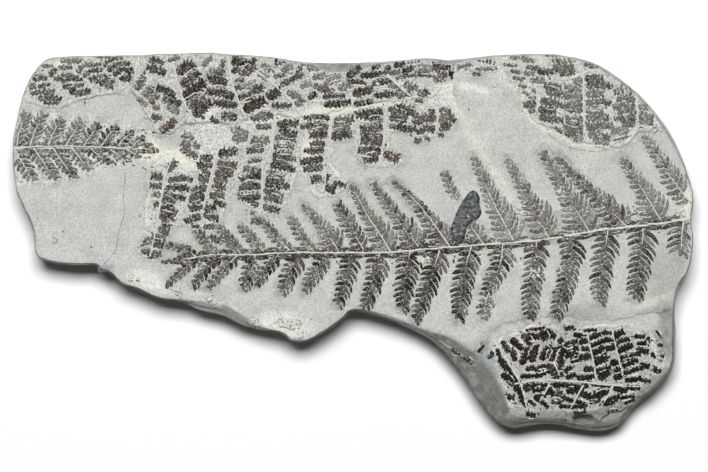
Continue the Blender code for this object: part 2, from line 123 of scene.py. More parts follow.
LAYERS = (
    CORNER_LAYER, UPPER_LAYER, HANGING_LAYER, BARE_HOLLOW, ISLAND_LAYER, LOBE_DROP, LOBE_LEDGE,
    LOBE_LAYER, LOBE_BREAK, EDGE_NOTCH,
)
# Two beds of ferns that no layer's edge bounds: under the left frond, and the rough crust between
# the upper layer and the island.
LEFT_FROND_BED = (
    (-152, 59), (-138, 59), (-118, 56), (-100, 53), (-86, 48), (-86, 42), (-102, 36), (-122, 29),
    (-140, 25), (-152, 26),
)
CRUST_BED = (
    (45, 96), (45.5, 76.5), (52, 74.5), (59, 76.5), (65, 74.5), (70, 71), (74.5, 66), (80, 64), (80, 96),
)
FERN_BEDS = (
    CORNER_LAYER[2], UPPER_LAYER[2], HANGING_LAYER[2], ISLAND_LAYER[2], LOBE_LAYER[2], LEFT_FROND_BED,
    CRUST_BED,
)


def smooth_path(points, step, closed=False):
    """Points about `step` apart on a smooth curve through the given ones."""
    knots = np.array(points, float)
    count = len(knots)
    path = []
    for i in range(count if closed else count - 1):
        a, b = knots[i], knots[(i + 1) % count]
        before = knots[i - 1] if closed or i else a
        after = knots[(i + 2) % count] if closed or i + 2 < count else b
        pieces = max(1, round(float(np.linalg.norm((b - a)[:2])) / step))
        for t in (k / pieces for k in range(pieces)):
            path.append(0.5 * (2 * a + (b - before) * t
                               + (2 * before - 5 * a + 4 * b - after) * t ** 2
                               + (3 * a - before - 3 * b + after) * t ** 3))
    return np.array(path if closed else path + [knots[-1]])


def left_of(path, closed=False):
    """The unit direction to the left of the path at each of its points."""
    if closed:
        run = np.roll(path, -1, axis=0) - np.roll(path, 1, axis=0)
    else:
        run = np.gradient(path, axis=0)
    run = run[:, :2] / np.linalg.norm(run[:, :2], axis=1, keepdims=True)
    return np.column_stack((-run[:, 1], run[:, 0]))


def wobble(places, size, level=0.0):
    """Smooth noise from -1 to 1 at each place, its lumps about `size` across. Each `level` is
    another pattern."""
    return np.array([noise.noise((x / size, y / size, level)) for x, y in places[:, :2]])


def path_distance(places, path, closed=False):
    """How far each place is from the path."""
    nearest = np.full(len(places), 1e9)
    ends = np.roll(path, -1, axis=0) if closed else path[1:]
    for a, b in zip(path[:len(ends), :2], ends[:, :2]):
        run = b - a
        t = np.clip(((places - a) @ run) / max(run @ run, 1e-9), 0, 1)
        nearest = np.minimum(nearest, np.linalg.norm(places - a - t[:, None] * run, axis=1))
    return nearest


def is_inside(places, loop):
    """Whether the closed loop goes round each place."""
    inside = np.zeros(len(places), bool)
    for a, b in zip(loop[:, :2], np.roll(loop, -1, axis=0)[:, :2]):
        if a[1] == b[1]:
            continue
        crosses = (a[1] > places[:, 1]) != (b[1] > places[:, 1])
        inside ^= crosses & (places[:, 0] < a[0] + (places[:, 1] - a[1]) * (b[0] - a[0]) / (b[1] - a[1]))
    return inside


def depth_in(places, edge):
    """How far inside the edge each place lies, and negative outside it."""
    loop = np.array(edge, float)
    away = path_distance(places, loop, closed=True)
    return np.where(is_inside(places, loop), away, -away)


def soft_step(value, run):
    """From 0 to 1 as the value passes through 0, over a width of `run`."""
    t = np.clip(value / run + 0.5, 0, 1)
    return t * t * (3 - 2 * t)


def ragged_edge(places):
    """How far a layer's broken edge strays from its drawn outline."""
    return 1.1 * wobble(places, 5.0) + 0.6 * wobble(places, 1.9, 4.0)


def stone_height(places):
    """The height of the split face, with each clinging layer's ragged edge and thin second edge."""
    main_share, second_share, second_offset = 0.72, 0.28, 2.2
    ragged = ragged_edge(places)
    risen, dropped = np.zeros(len(places)), np.zeros(len(places))
    for rise, run, edge in LAYERS:
        depth = depth_in(places, edge) + ragged
        step = rise * (main_share * soft_step(depth, run)
                       + second_share * soft_step(depth + second_offset + ragged, run))
        if rise > 0:
            risen = np.maximum(risen, step)
        else:
            dropped = dropped + step
    swell = 0.5 * wobble(places, 55.0) + 0.12 * wobble(places, 14.0, 2.0)
    return BED_HEIGHT + swell + risen + dropped


def fern_cover(places):
    """From 0 on bare stone to 1 where ferns lie."""
    stray = 2.5 * wobble(places, 6.0, 8.0)
    cover = np.zeros(len(places))
    for bed in FERN_BEDS:
        cover = np.maximum(cover, soft_step(depth_in(places, bed) + stray, 3.0))
    return cover


def slab_outline():
    """The widest outline, point for point with the inward direction and the slope's width."""
    spacing = 0.95
    path = smooth_path(OUTLINE, spacing, closed=True)
    for axis in (0, 1):
        low, high = path[:, axis].min(), path[:, axis].max()
        middle, size = (SLAB_LOW[axis] + SLAB_HIGH[axis]) / 2, SLAB_HIGH[axis] - SLAB_LOW[axis] + BREAK_LOSS
        path[:, axis] = middle + (path[:, axis] - (low + high) / 2) * size / (high - low)
    return path[:, :2], left_of(path, closed=True), path[:, 2]


def face_points(rim):
    """Places for the split face's points: close at layers' edges, looser on ferns and bare stone."""
    fine, edge_zone, rim_gap = 0.46, 1.7, 0.45
    row_step = fine * math.sqrt(3) / 2
    low, high = rim.min(axis=0), rim.max(axis=0)
    rows, columns = int((high[1] - low[1]) / row_step), int((high[0] - low[0]) / fine)
    row, column = np.mgrid[0:rows, 0:columns].reshape(2, -1)
    places = low + np.column_stack(((column + 0.5 * (row % 2)) * fine, row * row_step))
    keep = is_inside(places, rim)
    places, row, column = places[keep], row[keep], column[keep]
    diagonal = column - (row + 1) // 2
    third = (row + 2 * diagonal) % 3 == 0  # every third point, a net 1.73 times as wide
    ninth = third & (row % 2 == 0) & (((row // 2) + diagonal) % 2 == 0)
    edge_near = np.full(len(places), 1e9)
    for _, _, edge in LAYERS:
        edge_near = np.minimum(edge_near, path_distance(places, np.array(edge, float), closed=True))
    keep = (edge_near < edge_zone) | (third & (fern_cover(places) > 0.05)) | ninth
    places = places[keep]
    return places[path_distance(places, rim, closed=True) > rim_gap]


BEDDING_PLANES = (0.0, 0.07, 0.16, 0.3, 0.38, 0.5, 0.61, 0.69, 0.8, 0.88, 0.96, 1.0)
# Half the height between the pair of rings at a plane, where the slope is wide, as a share.
PLANE_GAP = 0.012
SIDE_RINGS = 3 * (len(BEDDING_PLANES) - 1) - 2
SIDE_PROFILE = (  # height, then how far in it lies: as a share of the slope's width, and besides
    (1.0, 1.0, 0.0), (0.91, 0.55, 0.0), (0.74, 0.0, 0.0), (0.3, 0.0, 1.6), (0.0, 0.0, BASE_INSET),
)


def slab_sides(outline, inward, slope, rim_height):
    """Rings of points down the broken side, in pairs that leave a low step at each bedding plane."""
    chance = random.Random(7)
    around = np.cumsum(np.linalg.norm(np.roll(outline, -1, axis=0) - outline, axis=1))
    sheer = np.minimum(1, 2 / slope)
    profile_depth = [1 - height for height, _, _ in SIDE_PROFILE]
    profile_inset = np.array([slope * share + more for _, share, more in SIDE_PROFILE])
    every = np.arange(len(slope))
    rings = []
    for k in range(len(BEDDING_PLANES) - 2, -1, -1):
        stray = np.array([noise.noise((s / 11.0, k * 3.7, 1.0)) for s in around])
        stray += 0.5 * np.array([noise.noise((s / 3.5, k * 5.1, 2.0)) for s in around])
        tilt = 0.02 * np.array([noise.noise((s / 40.0, k * 1.3, 5.0)) for s in around])
        setback = chance.uniform(-0.3, 0.3)
        lower, upper = BEDDING_PLANES[k:k + 2]
        for share, apart in ((upper, -1), ((lower + upper) / 2, 0), (lower, 1)):
            if share in (0.0, 1.0):
                continue
            at = np.clip(share + tilt * sheer + PLANE_GAP * apart * (1 - sheer), 0.02, 0.98)
            down = np.interp(1 - at, profile_depth, np.arange(len(SIDE_PROFILE)))
            row = np.minimum(down.astype(int), len(SIDE_PROFILE) - 2)
            blend = down - row
            inset = profile_inset[row, every] * (1 - blend) + profile_inset[row + 1, every] * blend
            strength = np.where(at > 0.6, 0.9 / (1 + 0.5 * slope), 1.0)
            place = outline + inward * (inset + (0.7 * stray + setback) * strength)[:, None]
            rings.append(np.column_stack((place, rim_height * at)))
    return rings


def sheet(ring, inner):
    """A flat net of triangles inside the ring: its places, its faces and the ring's point numbers."""
    count = len(ring)
    edges = [(i, (i + 1) % count) for i in range(count)]
    flat = [Vector(p) for p in np.vstack((ring, inner))]
    made, _, faces, origins, _, _ = delaunay_2d_cdt(flat, edges, [], 1, 1e-4)
    found = {i: index for index, known in enumerate(origins) for i in known if i < count}
    return np.array([tuple(p) for p in made]), faces, [found[i] for i in range(count)]


def raise_slab():
    """The slab's mesh: split face, broken sides and the back it rests on."""
    outline, inward, slope = slab_outline()
    chips = (0.35 * wobble(outline, 2.6, 3.0) + 0.5 * wobble(outline, 9.0, 6.0)) * np.minimum(1, slope / 1.5)
    rim = outline + inward * np.maximum(slope + chips, 0.3)[:, None]
    places, faces, order = sheet(rim, face_points(rim))
    count = len(rim)
    cover = fern_cover(places)
    grain = wobble(places, 1.3, 9.0) * (0.05 + 0.13 * cover) + 0.06 * cover * wobble(places, 3.2, 11.0)
    height = stone_height(places) + grain
    points = [np.column_stack((places, height))]
    rings = slab_sides(outline, inward, slope, height[order])
    total = len(places)
    above = order
    for ring in rings:
        below = list(range(total, total + count))
        faces += side_faces(above, below)
        points.append(ring)
        above = below
        total += count
    back_points, back_faces, back_order = slab_back(outline + inward * BASE_INSET)
    points.append(back_points)
    faces += side_faces(above, [total + i for i in back_order])
    faces += [tuple(total + i for i in reversed(face)) for face in back_faces]
    points = np.vstack(points)
    x, y, long, wide, depth = UNDERCUT
    reach = np.hypot((points[:, 0] - x) / long, (points[:, 1] - y) / wide)
    points[:, 2] -= depth * soft_step(1 - reach, 0.6) * (points[:, 2] > depth * 2)
    return points, faces, len(places), order


def side_faces(above, below):
    """The band of faces between two rings of point numbers."""
    following = list(range(1, len(above))) + [0]
    return [(above[i], below[i], below[k], above[k]) for i, k in enumerate(following)]


def slab_back(ring):
    """The face that the slab rests on: mostly one plane, with shallow hollows where layers split off."""
    spacing, edge_gap = 4.0, 2.5
    low, high = ring.min(axis=0), ring.max(axis=0)
    grid = np.mgrid[low[0]:high[0]:spacing, low[1]:high[1]:spacing].reshape(2, -1).T
    grid = grid[is_inside(grid, ring) & (path_distance(grid, ring, closed=True) > edge_gap)]
    places, faces, order = sheet(ring, grid)
    inner = soft_step(path_distance(places, ring, closed=True) - 1.5, 2.0)
    hollow = 0.7 * soft_step(wobble(places, 32.0, 14.0) - 0.12, 0.16)
    hollow += 0.15 * np.maximum(wobble(places, 9.0), 0)
    return np.column_stack((places, hollow * inner)), faces, order


def new_piece(name, points, faces):
    """A smooth-shaded mesh object in metres from points in millimetres."""
    mesh = bpy.data.meshes.new(name)
    mesh.from_pydata((np.asarray(points) * MILLIMETRE).tolist(), [], faces)
    mesh.update()
    mesh.polygons.foreach_set("use_smooth", [True] * len(mesh.polygons))
    piece = bpy.data.objects.new(name, mesh)
    bpy.context.scene.collection.objects.link(piece)
    return piece


def add_mask(piece, name, values):
    """A value from 0 to 1 at each of the piece's points, which its material reads."""
    layer = piece.data.attributes.new(name, "FLOAT", "POINT")
    layer.data.foreach_set("value", np.asarray(values, np.float32))


def blots(places, spots):
    """From 0 to 1 inside ragged round stains, each given as x, y, half length, half width, turn."""
    ragged = 0.35 * wobble(places, 7.0, 21.0) + 0.25 * wobble(places, 2.5, 23.0)
    mask = np.zeros(len(places))
    for x, y, long, wide, turn in spots:
        c, s = math.cos(math.radians(turn)), math.sin(math.radians(turn))
        dx, dy = places[:, 0] - x, places[:, 1] - y
        reach = np.hypot((dx * c + dy * s) / long, (dy * c - dx * s) / wide)
        mask = np.maximum(mask, soft_step(1.0 - reach + ragged, 0.8))
    return mask


def streak(places, points, width):
    """From 0 to 1 along a ragged line."""
    ragged = 0.5 * wobble(places, 6.0, 31.0) + 0.4 * wobble(places, 2.0, 33.0)
    away = path_distance(places, np.array(points, float))
    return soft_step(1.0 - away / width + ragged, 1.0)


# Patches on the face and its sides: x, y, half length, half width, turn. The white, cream and blue ones are
# stains, the dark and grey ones are painted shade, and the last eases the sides' dark colour.
WHITE_PATCHES = (
    (-92, -17, 9, 4, -22), (-55, -33, 8, 4, -30), (-30, -37, 11, 5, -12),
    (31, -8.5, 4, 2.5, 0), (81.5, -13.5, 4, 2.5, 0), (-68, 57, 5, 3, 0), (-16, 58, 8, 3, 5),
    (50, 70.5, 5, 1.6, -10), (58, 68.5, 3.5, 1.6, -15),
)
CREAM_PATCHES = (
    (-77, 38, 9, 4, -15), (-92, 42, 8, 5, 0), (-14, 59, 10, 3, 8), (137, -25.5, 8, 1.4, 22),
    (151, 18, 3, 8, 0), (-20, 42, 4, 5, 0), (-130, 80, 4, 2, 0),
)
BLUE_PATCHES = ((60, -55, 4, 9, 15), (-112, -12, 4, 2.5, 0))
# Painted shade in the undercut and the notch, under the ledge above the lobe, and on the lobe's lower slopes.
PAINTED_SHADE_PATCHES = (
    UNDERCUT[:4] + (0,), (39.5, 78, 4, 3.5, -20), (50.5, -49.8, 8, 2, -22), (114.5, -76.5, 11, 4, 22),
    (93, -77.5, 11, 2.6, -2), (76, -76.5, 6, 3, -20),
)
# Grey painted shade on rims that slope away from the light: the right side and the lobe's lower edge.
GREY_RIM_SHADE_PATCHES = (
    (141, -40, 4.5, 15, 0), (134.5, -65.5, 13, 4, 46), (111, -79.5, 17, 5, 14), (88, -80.5, 15, 4.5, -3),
    (64.5, -68, 8, 3.5, -58),
)
# Fainter grey: painted shade by the right rim and along the lobe's edges, and a greyer tone over the lobe's
# middle.
FAINT_PATCHES = ((141, -17, 9, 14, 0), (105, -31, 12, 3, 3), (96, -72, 26, 6, 0), (104, -57, 33, 17, -5))
# FAINT also scales painted shade: the faint grey patches and the shadow line at each layer's foot.
FAINT = 0.45  # how strong a faint stain is beside a full one
# Where the sides' darker broken colour, with its painted shade, is eased off.
LIGHTER_SIDE_PATCHES = ((-61, -31, 16, 5, -18),)
# Cream streaks: strength, half width, then the line. Two of them follow ledges.
CREAM_STREAKS = (
    (0.6, 1.7, ((40, 71), (48, 57), (57, 41), (66, 28), (71, 20))),
    (0.9, 0.9, (
        (-46.6, 54.5), (-34, 55.8), (-24, 56.7), (-10.6, 58.5), (-1.6, 59.9), (7.4, 61.2),
        (16.4, 63), (25.4, 64.4), (35, 66.5), (43.4, 69),
    )),
    (0.9, 0.9, (
        (76, 66), (77.5, 59.5), (80, 55.5), (86.5, 51), (93, 48), (99.7, 44.3), (107, 43.6),
        (115, 43.5),
    )),
)


def slab_masks(piece, points, face_count, rim):
    """The stains and worn areas that the slab's material shows, and the shade painted on its sides, slopes,
    ledges and hollows.
    """
    places = points[:, :2]
    on_face = np.arange(len(points)) < face_count
    cover = np.zeros(len(points))
    cover[on_face] = fern_cover(places[on_face])
    crest, foot = np.zeros(len(points)), np.zeros(len(points))
    ragged = ragged_edge(places)
    broken_up = soft_step(wobble(places, 6.0, 17.0) + 0.1, 0.4)
    # Just inside each layer's edge lies a pale crest, and just outside, at the step's foot, a thin line of
    # painted shadow.
    for _, _, edge in (UPPER_LAYER, ISLAND_LAYER, HANGING_LAYER, LOBE_LAYER, BARE_HOLLOW):
        depth = depth_in(places, edge) + ragged
        crest = np.maximum(crest, soft_step(0.4 - np.abs(depth - 0.4), 0.4) * broken_up)
        foot = np.maximum(foot, soft_step(0.4 - np.abs(depth + 0.6), 0.4) * broken_up)
    add_mask(piece, "fern_cover", cover)
    broken = np.where(on_face, 0.0, 1.0)
    # The darker broken colour, which also paints the shade that falls on the sides, comes in over the upper
    # rings, and less where the side is sheer.
    steepness = np.clip((slab_outline()[2] - 1.0) / 4.0, 0.35, 1.0)
    ramp = np.clip(0.6 + np.arange(1, SIDE_RINGS + 1) / 5, 0, 1)
    broken[face_count:face_count + SIDE_RINGS * len(rim)] = np.outer(ramp, steepness).ravel()
    broken[rim] = 0.3 * steepness
    broken *= 1 - 0.6 * blots(places, LIGHTER_SIDE_PATCHES)
    add_mask(piece, "broken_and_shaded_side", broken)
    add_mask(piece, "white_bloom", np.maximum(blots(places, WHITE_PATCHES), crest) * on_face)
    cream = blots(places, CREAM_PATCHES)
    for strength, half_width, line in CREAM_STREAKS:
        cream = np.maximum(cream, strength * streak(places, line, half_width))
    add_mask(piece, "cream_stain", cream * on_face)
    add_mask(piece, "blue_shade", blots(places, BLUE_PATCHES))
    grey = np.maximum(blots(places, GREY_RIM_SHADE_PATCHES), FAINT * blots(places, FAINT_PATCHES))
    add_mask(piece, "grey_and_painted_shade", grey)
    # The painted shade patches, and more faintly the painted shadow at each layer's foot, join the carbon
    # film's stain in one mask.
    add_mask(piece, "carbon_film_and_shade", np.maximum(blots(places, PAINTED_SHADE_PATCHES), FAINT * foot * on_face))


def node(tree, kind, settings=(), **inputs):
    """A shader node; inputs are by socket name, with _ for a space, as values or as links."""
    made = tree.nodes.new("ShaderNode" + kind)
    for key, value in dict(settings).items():
        setattr(made, key, value)
    for key, value in inputs.items():
        socket = made.inputs[int(key[1:])] if key[0] == "_" else made.inputs[key.replace("_", " ")]
        if isinstance(value, bpy.types.NodeSocket):
            tree.links.new(value, socket)
        else:
            socket.default_value = value
    return made


def new_material(name, roughness, shine=0.2):
    """A new material, with its node tree and its shader."""
    material = bpy.data.materials.new(name)
    material.use_nodes = True
    shader = material.node_tree.nodes["Principled BSDF"]
    shader.inputs["Roughness"].default_value = roughness
    shader.inputs["Specular IOR Level"].default_value = shine
    return material, material.node_tree, shader


def grain_noise(tree, size, detail=2.0, roughness=0.5):
    """Noise from 0 to 1 with lumps about `size` millimetres across."""
    coordinates = node(tree, "TexCoord").outputs["Object"]
    return node(tree, "TexNoise", Vector=coordinates, Scale=1 / (size * MILLIMETRE),
                Detail=detail, Roughness=roughness).outputs["Fac"]


def spread(tree, value, low, high, bottom=0.0, top=1.0):
    """A value between low and high, stretched to lie between bottom and top."""
    return node(tree, "MapRange", Value=value, From_Min=low, From_Max=high, To_Min=bottom,
                To_Max=top).outputs["Result"]


def mask_of(tree, name):
    """A value that was stored at the piece's points."""
    return node(tree, "Attribute", {"attribute_name": name}).outputs["Fac"]


def times(tree, a, b):
    """The product of two values."""
    return node(tree, "Math", {"operation": "MULTIPLY"}, _0=a, _1=b).outputs[0]


def blend_colour(tree, amount, under, over, mode="MIX"):
    """The colour `over` laid on the colour `under`, by an amount from 0 to 1."""
    mixed = node(tree, "Mix", {"data_type": "RGBA", "blend_type": mode}, _0=amount, _6=under, _7=over)
    return mixed.outputs[2]


def finish_surface(tree, shader, colour, strength, depth, relief):
    """Gives the shader its colour and a bump as deep as `depth`, in millimetres."""
    tree.links.new(colour, shader.inputs["Base Color"])
    bump = node(tree, "Bump", Strength=strength, Distance=depth * MILLIMETRE, Height=relief)
    tree.links.new(bump.outputs["Normal"], shader.inputs["Normal"])


SHALE = (0.362, 0.369, 0.35, 1.0)
SHALE_LIGHT = (0.415, 0.42, 0.395, 1.0)
SHALE_DUST = (0.13, 0.125, 0.112, 1.0)
BROKEN_SHADED_SHALE = (0.13, 0.137, 0.12, 1.0)
STAINED_AND_SHADED_SHALE = (0.10, 0.095, 0.082, 1.0)
WHITE_BLOOM = (0.54, 0.54, 0.505, 1.0)
CREAM_STAIN = (0.53, 0.522, 0.45, 1.0)
BLUE_SHADE = (0.22, 0.238, 0.25, 1.0)
GREY_TONE_AND_SHADE = (0.2, 0.205, 0.187, 1.0)


def shale_material():
    """Dull grey stone, mottled, with white mineral and dust where ferns lie, its stains, and painted shade on
    its sides, slopes, ledges and hollows.
    """
    material, tree, shader = new_material("shale", roughness=0.88)
    mottle = spread(tree, grain_noise(tree, 9.0, 4.0), 0.35, 0.65)
    colour = blend_colour(tree, mottle, SHALE, SHALE_LIGHT)
    cover = mask_of(tree, "fern_cover")
    bloom = times(tree, cover, spread(tree, grain_noise(tree, 1.7, 3.0), 0.35, 0.6))
    colour = blend_colour(tree, times(tree, bloom, 0.8), colour, WHITE_BLOOM)
    dust = times(tree, cover, spread(tree, grain_noise(tree, 0.9, 3.0), 0.54, 0.64))
    colour = blend_colour(tree, times(tree, dust, 0.75), colour, SHALE_DUST)
    # The carbon film's stain and the painted shade, which share one mask, darken the stone.
    stain = times(tree, mask_of(tree, "carbon_film_and_shade"),
                  spread(tree, grain_noise(tree, 1.1, 3.0, 0.7), 0.34, 0.62, 1.0, 0.2))
    colour = blend_colour(tree, stain, colour, STAINED_AND_SHADED_SHALE)
    salt = times(tree, cover, spread(tree, grain_noise(tree, 0.8, 2.0, 0.6), 0.56, 0.64))
    colour = blend_colour(tree, times(tree, salt, 0.9), colour, WHITE_BLOOM)
    for name, tint, size in (("white_bloom", WHITE_BLOOM, 1.6), ("cream_stain", CREAM_STAIN, 2.2),
                             ("blue_shade", BLUE_SHADE, 3.0), ("grey_and_painted_shade", GREY_TONE_AND_SHADE, 3.0),
                             ("broken_and_shaded_side", BROKEN_SHADED_SHALE, 4.0)):
        patchy = spread(tree, grain_noise(tree, size, 3.0), 0.25, 0.55, 0.5, 1.0)
        colour = blend_colour(tree, times(tree, mask_of(tree, name), patchy), colour, tint)
    specks = spread(tree, grain_noise(tree, 0.75, 2.0, 0.7), 0.3, 0.7, 0.74, 1.26)
    shade = node(tree, "CombineColor", Red=specks, Green=specks, Blue=specks).outputs[0]
    colour = blend_colour(tree, 1.0, colour, shade, "MULTIPLY")
    pits = grain_noise(tree, 0.9, 4.0, 0.65)
    finish_surface(tree, shader, colour, strength=0.55, depth=0.35, relief=pits)
    return material


slab_points, slab_faces, face_point_count, rim_order = raise_slab()
slab = new_piece("shale_slab", slab_points, slab_faces)
# The rim is a crisp edge where the slope below it is narrow.
CRISP_SLOPE = 2.5
rim_points = {point for point, width in zip(rim_order, slab_outline()[2]) if width < CRISP_SLOPE}
for edge in slab.data.edges:
    edge.use_edge_sharp = edge.vertices[0] in rim_points and edge.vertices[1] in rim_points
slab_masks(slab, slab_points, face_point_count, rim_order)
slab.data.materials.append(shale_material())
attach(slab, "root")
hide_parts(SLAB_NODE)

# ==== The long frond ===============================================================
# The largest fern, pressed flat and turned to a dark brown film of carbon, its stalk and veins
# standing pale. Side leaflets leave the stalk in pairs, each cut into small tongues. The film
# grew into the stone, so every part of it is sunk a little in the split face.
MAIN_STALK = (
    (152.5, 11), (133.5, 8), (113.5, 6), (93.5, 2.5), (82, 1), (71, 0), (57.5, -1), (43.5, -2),
    (26.5, -3.5), (12.5, -4.5), (-10.5, -4.5), (-29.5, -4.5), (-46.5, -5.5), (-63.5, -5.5), (-75, -7.5),
)
# Each leaflet: its axis from the stalk to its tip, its reach towards -X and towards +X,
# how dark it is, and how much of its length shows a pale midrib.
MAIN_LEAFLETS = (
    ((148.5, 9.5), (147.8, 2), (147.2, -5.5), 9, 5, 0.6, 0.9),
    ((130.5, 7.5), (129.5, -5.5), (126.5, -25), 6.3, 6.8, 0.75, 0.3),
    ((114.5, 5.5), (112.5, -8.5), (110.5, -26), 6.3, 5.9, 0.75, 0.2),
    ((99, 3), (97, -13), (91, -33.5), 5.9, 5.9, 0.8, 0),
    ((82.5, 1), (81, -18), (79, -34), 6.3, 5.4, 0.8, 0.1),
    ((67.5, -0.5), (65.5, -11), (59.5, -22.5), 5.9, 5.4, 0.75, 0.5),
    ((61, -22.5), (59, -28), (58, -34), 4, 4, 0.6, 0.5),
    ((53, -1.5), (49, -17.5), (46.5, -34), 5.4, 6.3, 0.85, 0.3),
    ((39, -2.5), (34.5, -16.5), (28, -34), 5.4, 5.9, 0.95, 0.3),
    ((25.5, -3.5), (23.5, -16), (21.5, -29), 5.9, 5.9, 0.9, 0.15),
    ((12, -4.5), (8.5, -17.5), (4.5, -30), 5, 5.9, 0.8, 0.1),
    ((-0.5, -4.5), (-3.5, -16), (-7, -27.5), 5, 5.4, 0.85, 0.1),
    ((-12, -4.5), (-17, -13), (-22.5, -21.5), 5, 5.4, 0.8, 0.1),
    ((-24.5, -4.5), (-28, -12), (-32.5, -22), 5, 5.4, 0.85, 0.1),
    ((-33.5, -5), (-38.5, -11), (-44, -19), 4.5, 4.5, 0.8, 0.2),
    ((-44, -5.5), (-47, -12), (-49.5, -20.5), 4, 4.5, 0.8, 0.1),
    ((-52, -5.5), (-58.5, -12), (-65.5, -20), 4, 4.5, 0.8, 0.3),
    ((-59, -6), (-65.5, -11), (-72, -19), 4, 4.5, 0.8, 0.1),
    ((-67.5, -6.5), (-75, -11), (-84, -19), 3.6, 4, 0.75, 0.1),
    ((-74, -7), (-80, -8), (-86, -8.5), 2.2, 2.2, 0.8, 0),
    ((152, 18), (143.5, 28.5), (131, 48), 5.9, 6.3, 0.55, 0.5),
    ((138.5, 10), (130.5, 23), (121, 38), 6.3, 6.3, 0.6, 0.6),
    ((123, 7.5), (109, 20.5), (91.5, 38), 6.8, 6.3, 0.75, 0.2),
    ((106.5, 4.5), (95.5, 22.5), (85, 41), 7.2, 6.8, 0.55, 0.3),
    ((88, 2), (78.5, 20), (69.5, 37.5), 5.4, 5.9, 0.6, 0.2),
    ((72.5, 0.5), (63, 18), (54.5, 38), 5.9, 6.3, 0.5, 0.7),
    ((59, -1), (54.5, 5), (51.5, 9.5), 3.6, 4.5, 0.6, 0.8),
    ((43.5, -2), (30.5, 16), (18, 27.5), 6.3, 4, 0.8, 0.8),
    ((30, -3), (20, 11), (9, 26.5), 5.9, 5.4, 0.75, 0.2),
    ((17, -4), (6, 13), (-1, 26), 5.4, 5.4, 0.7, 0.9),
    ((4.5, -3), (-1.5, 7.5), (-7, 17), 5, 5, 0.75, 0.3),
    ((-7, -3), (-14, 7), (-22.5, 17), 5, 5, 0.65, 0.3),
    ((-18, -3.5), (-22.5, 1.5), (-28.5, 11.5), 3.6, 3.6, 0.5, 0.2),
    ((-28.5, -3.5), (-34.5, 2), (-41, 9.5), 4, 4, 0.6, 0.4),
    ((-40.5, -4), (-45.5, 1.5), (-51, 7.5), 4, 4, 0.65, 0.2),
    ((-51, -4.5), (-55.5, 1), (-61, 7), 4, 4, 0.75, 0.1),
    ((-62, -5), (-66.5, 0), (-71, 6.5), 3.6, 3.6, 0.65, 0.1),
    ((-71, -6), (-77, -2.5), (-84.5, -1), 3.6, 4, 0.8, 0.1),
    ((47, 19.5), (43.5, 25), (40.5, 32), 3.1, 3.6, 0.5, 0.2),
)
MAIN_SPACING = 2.8  # between the tongues of a leaflet
TOOTH_PITCH = 1.7  # between the teeth of a broad blade
EDGE_SUNK = 0.18  # how deep a part's edge, and its underside, lie in the stone
UNDERSIDE_SUNK = 0.5
slab_tree = BVHTree.FromPolygons([tuple(point) for point in slab_points], slab_faces)


def ground_at(x, y):
    """The height of the stone at a place, and 0 beside it."""
    above_slab = 60
    spot = slab_tree.ray_cast(Vector((x, y, above_slab)), Vector((0, 0, -1)))[0]
    return spot.z if spot else 0.0


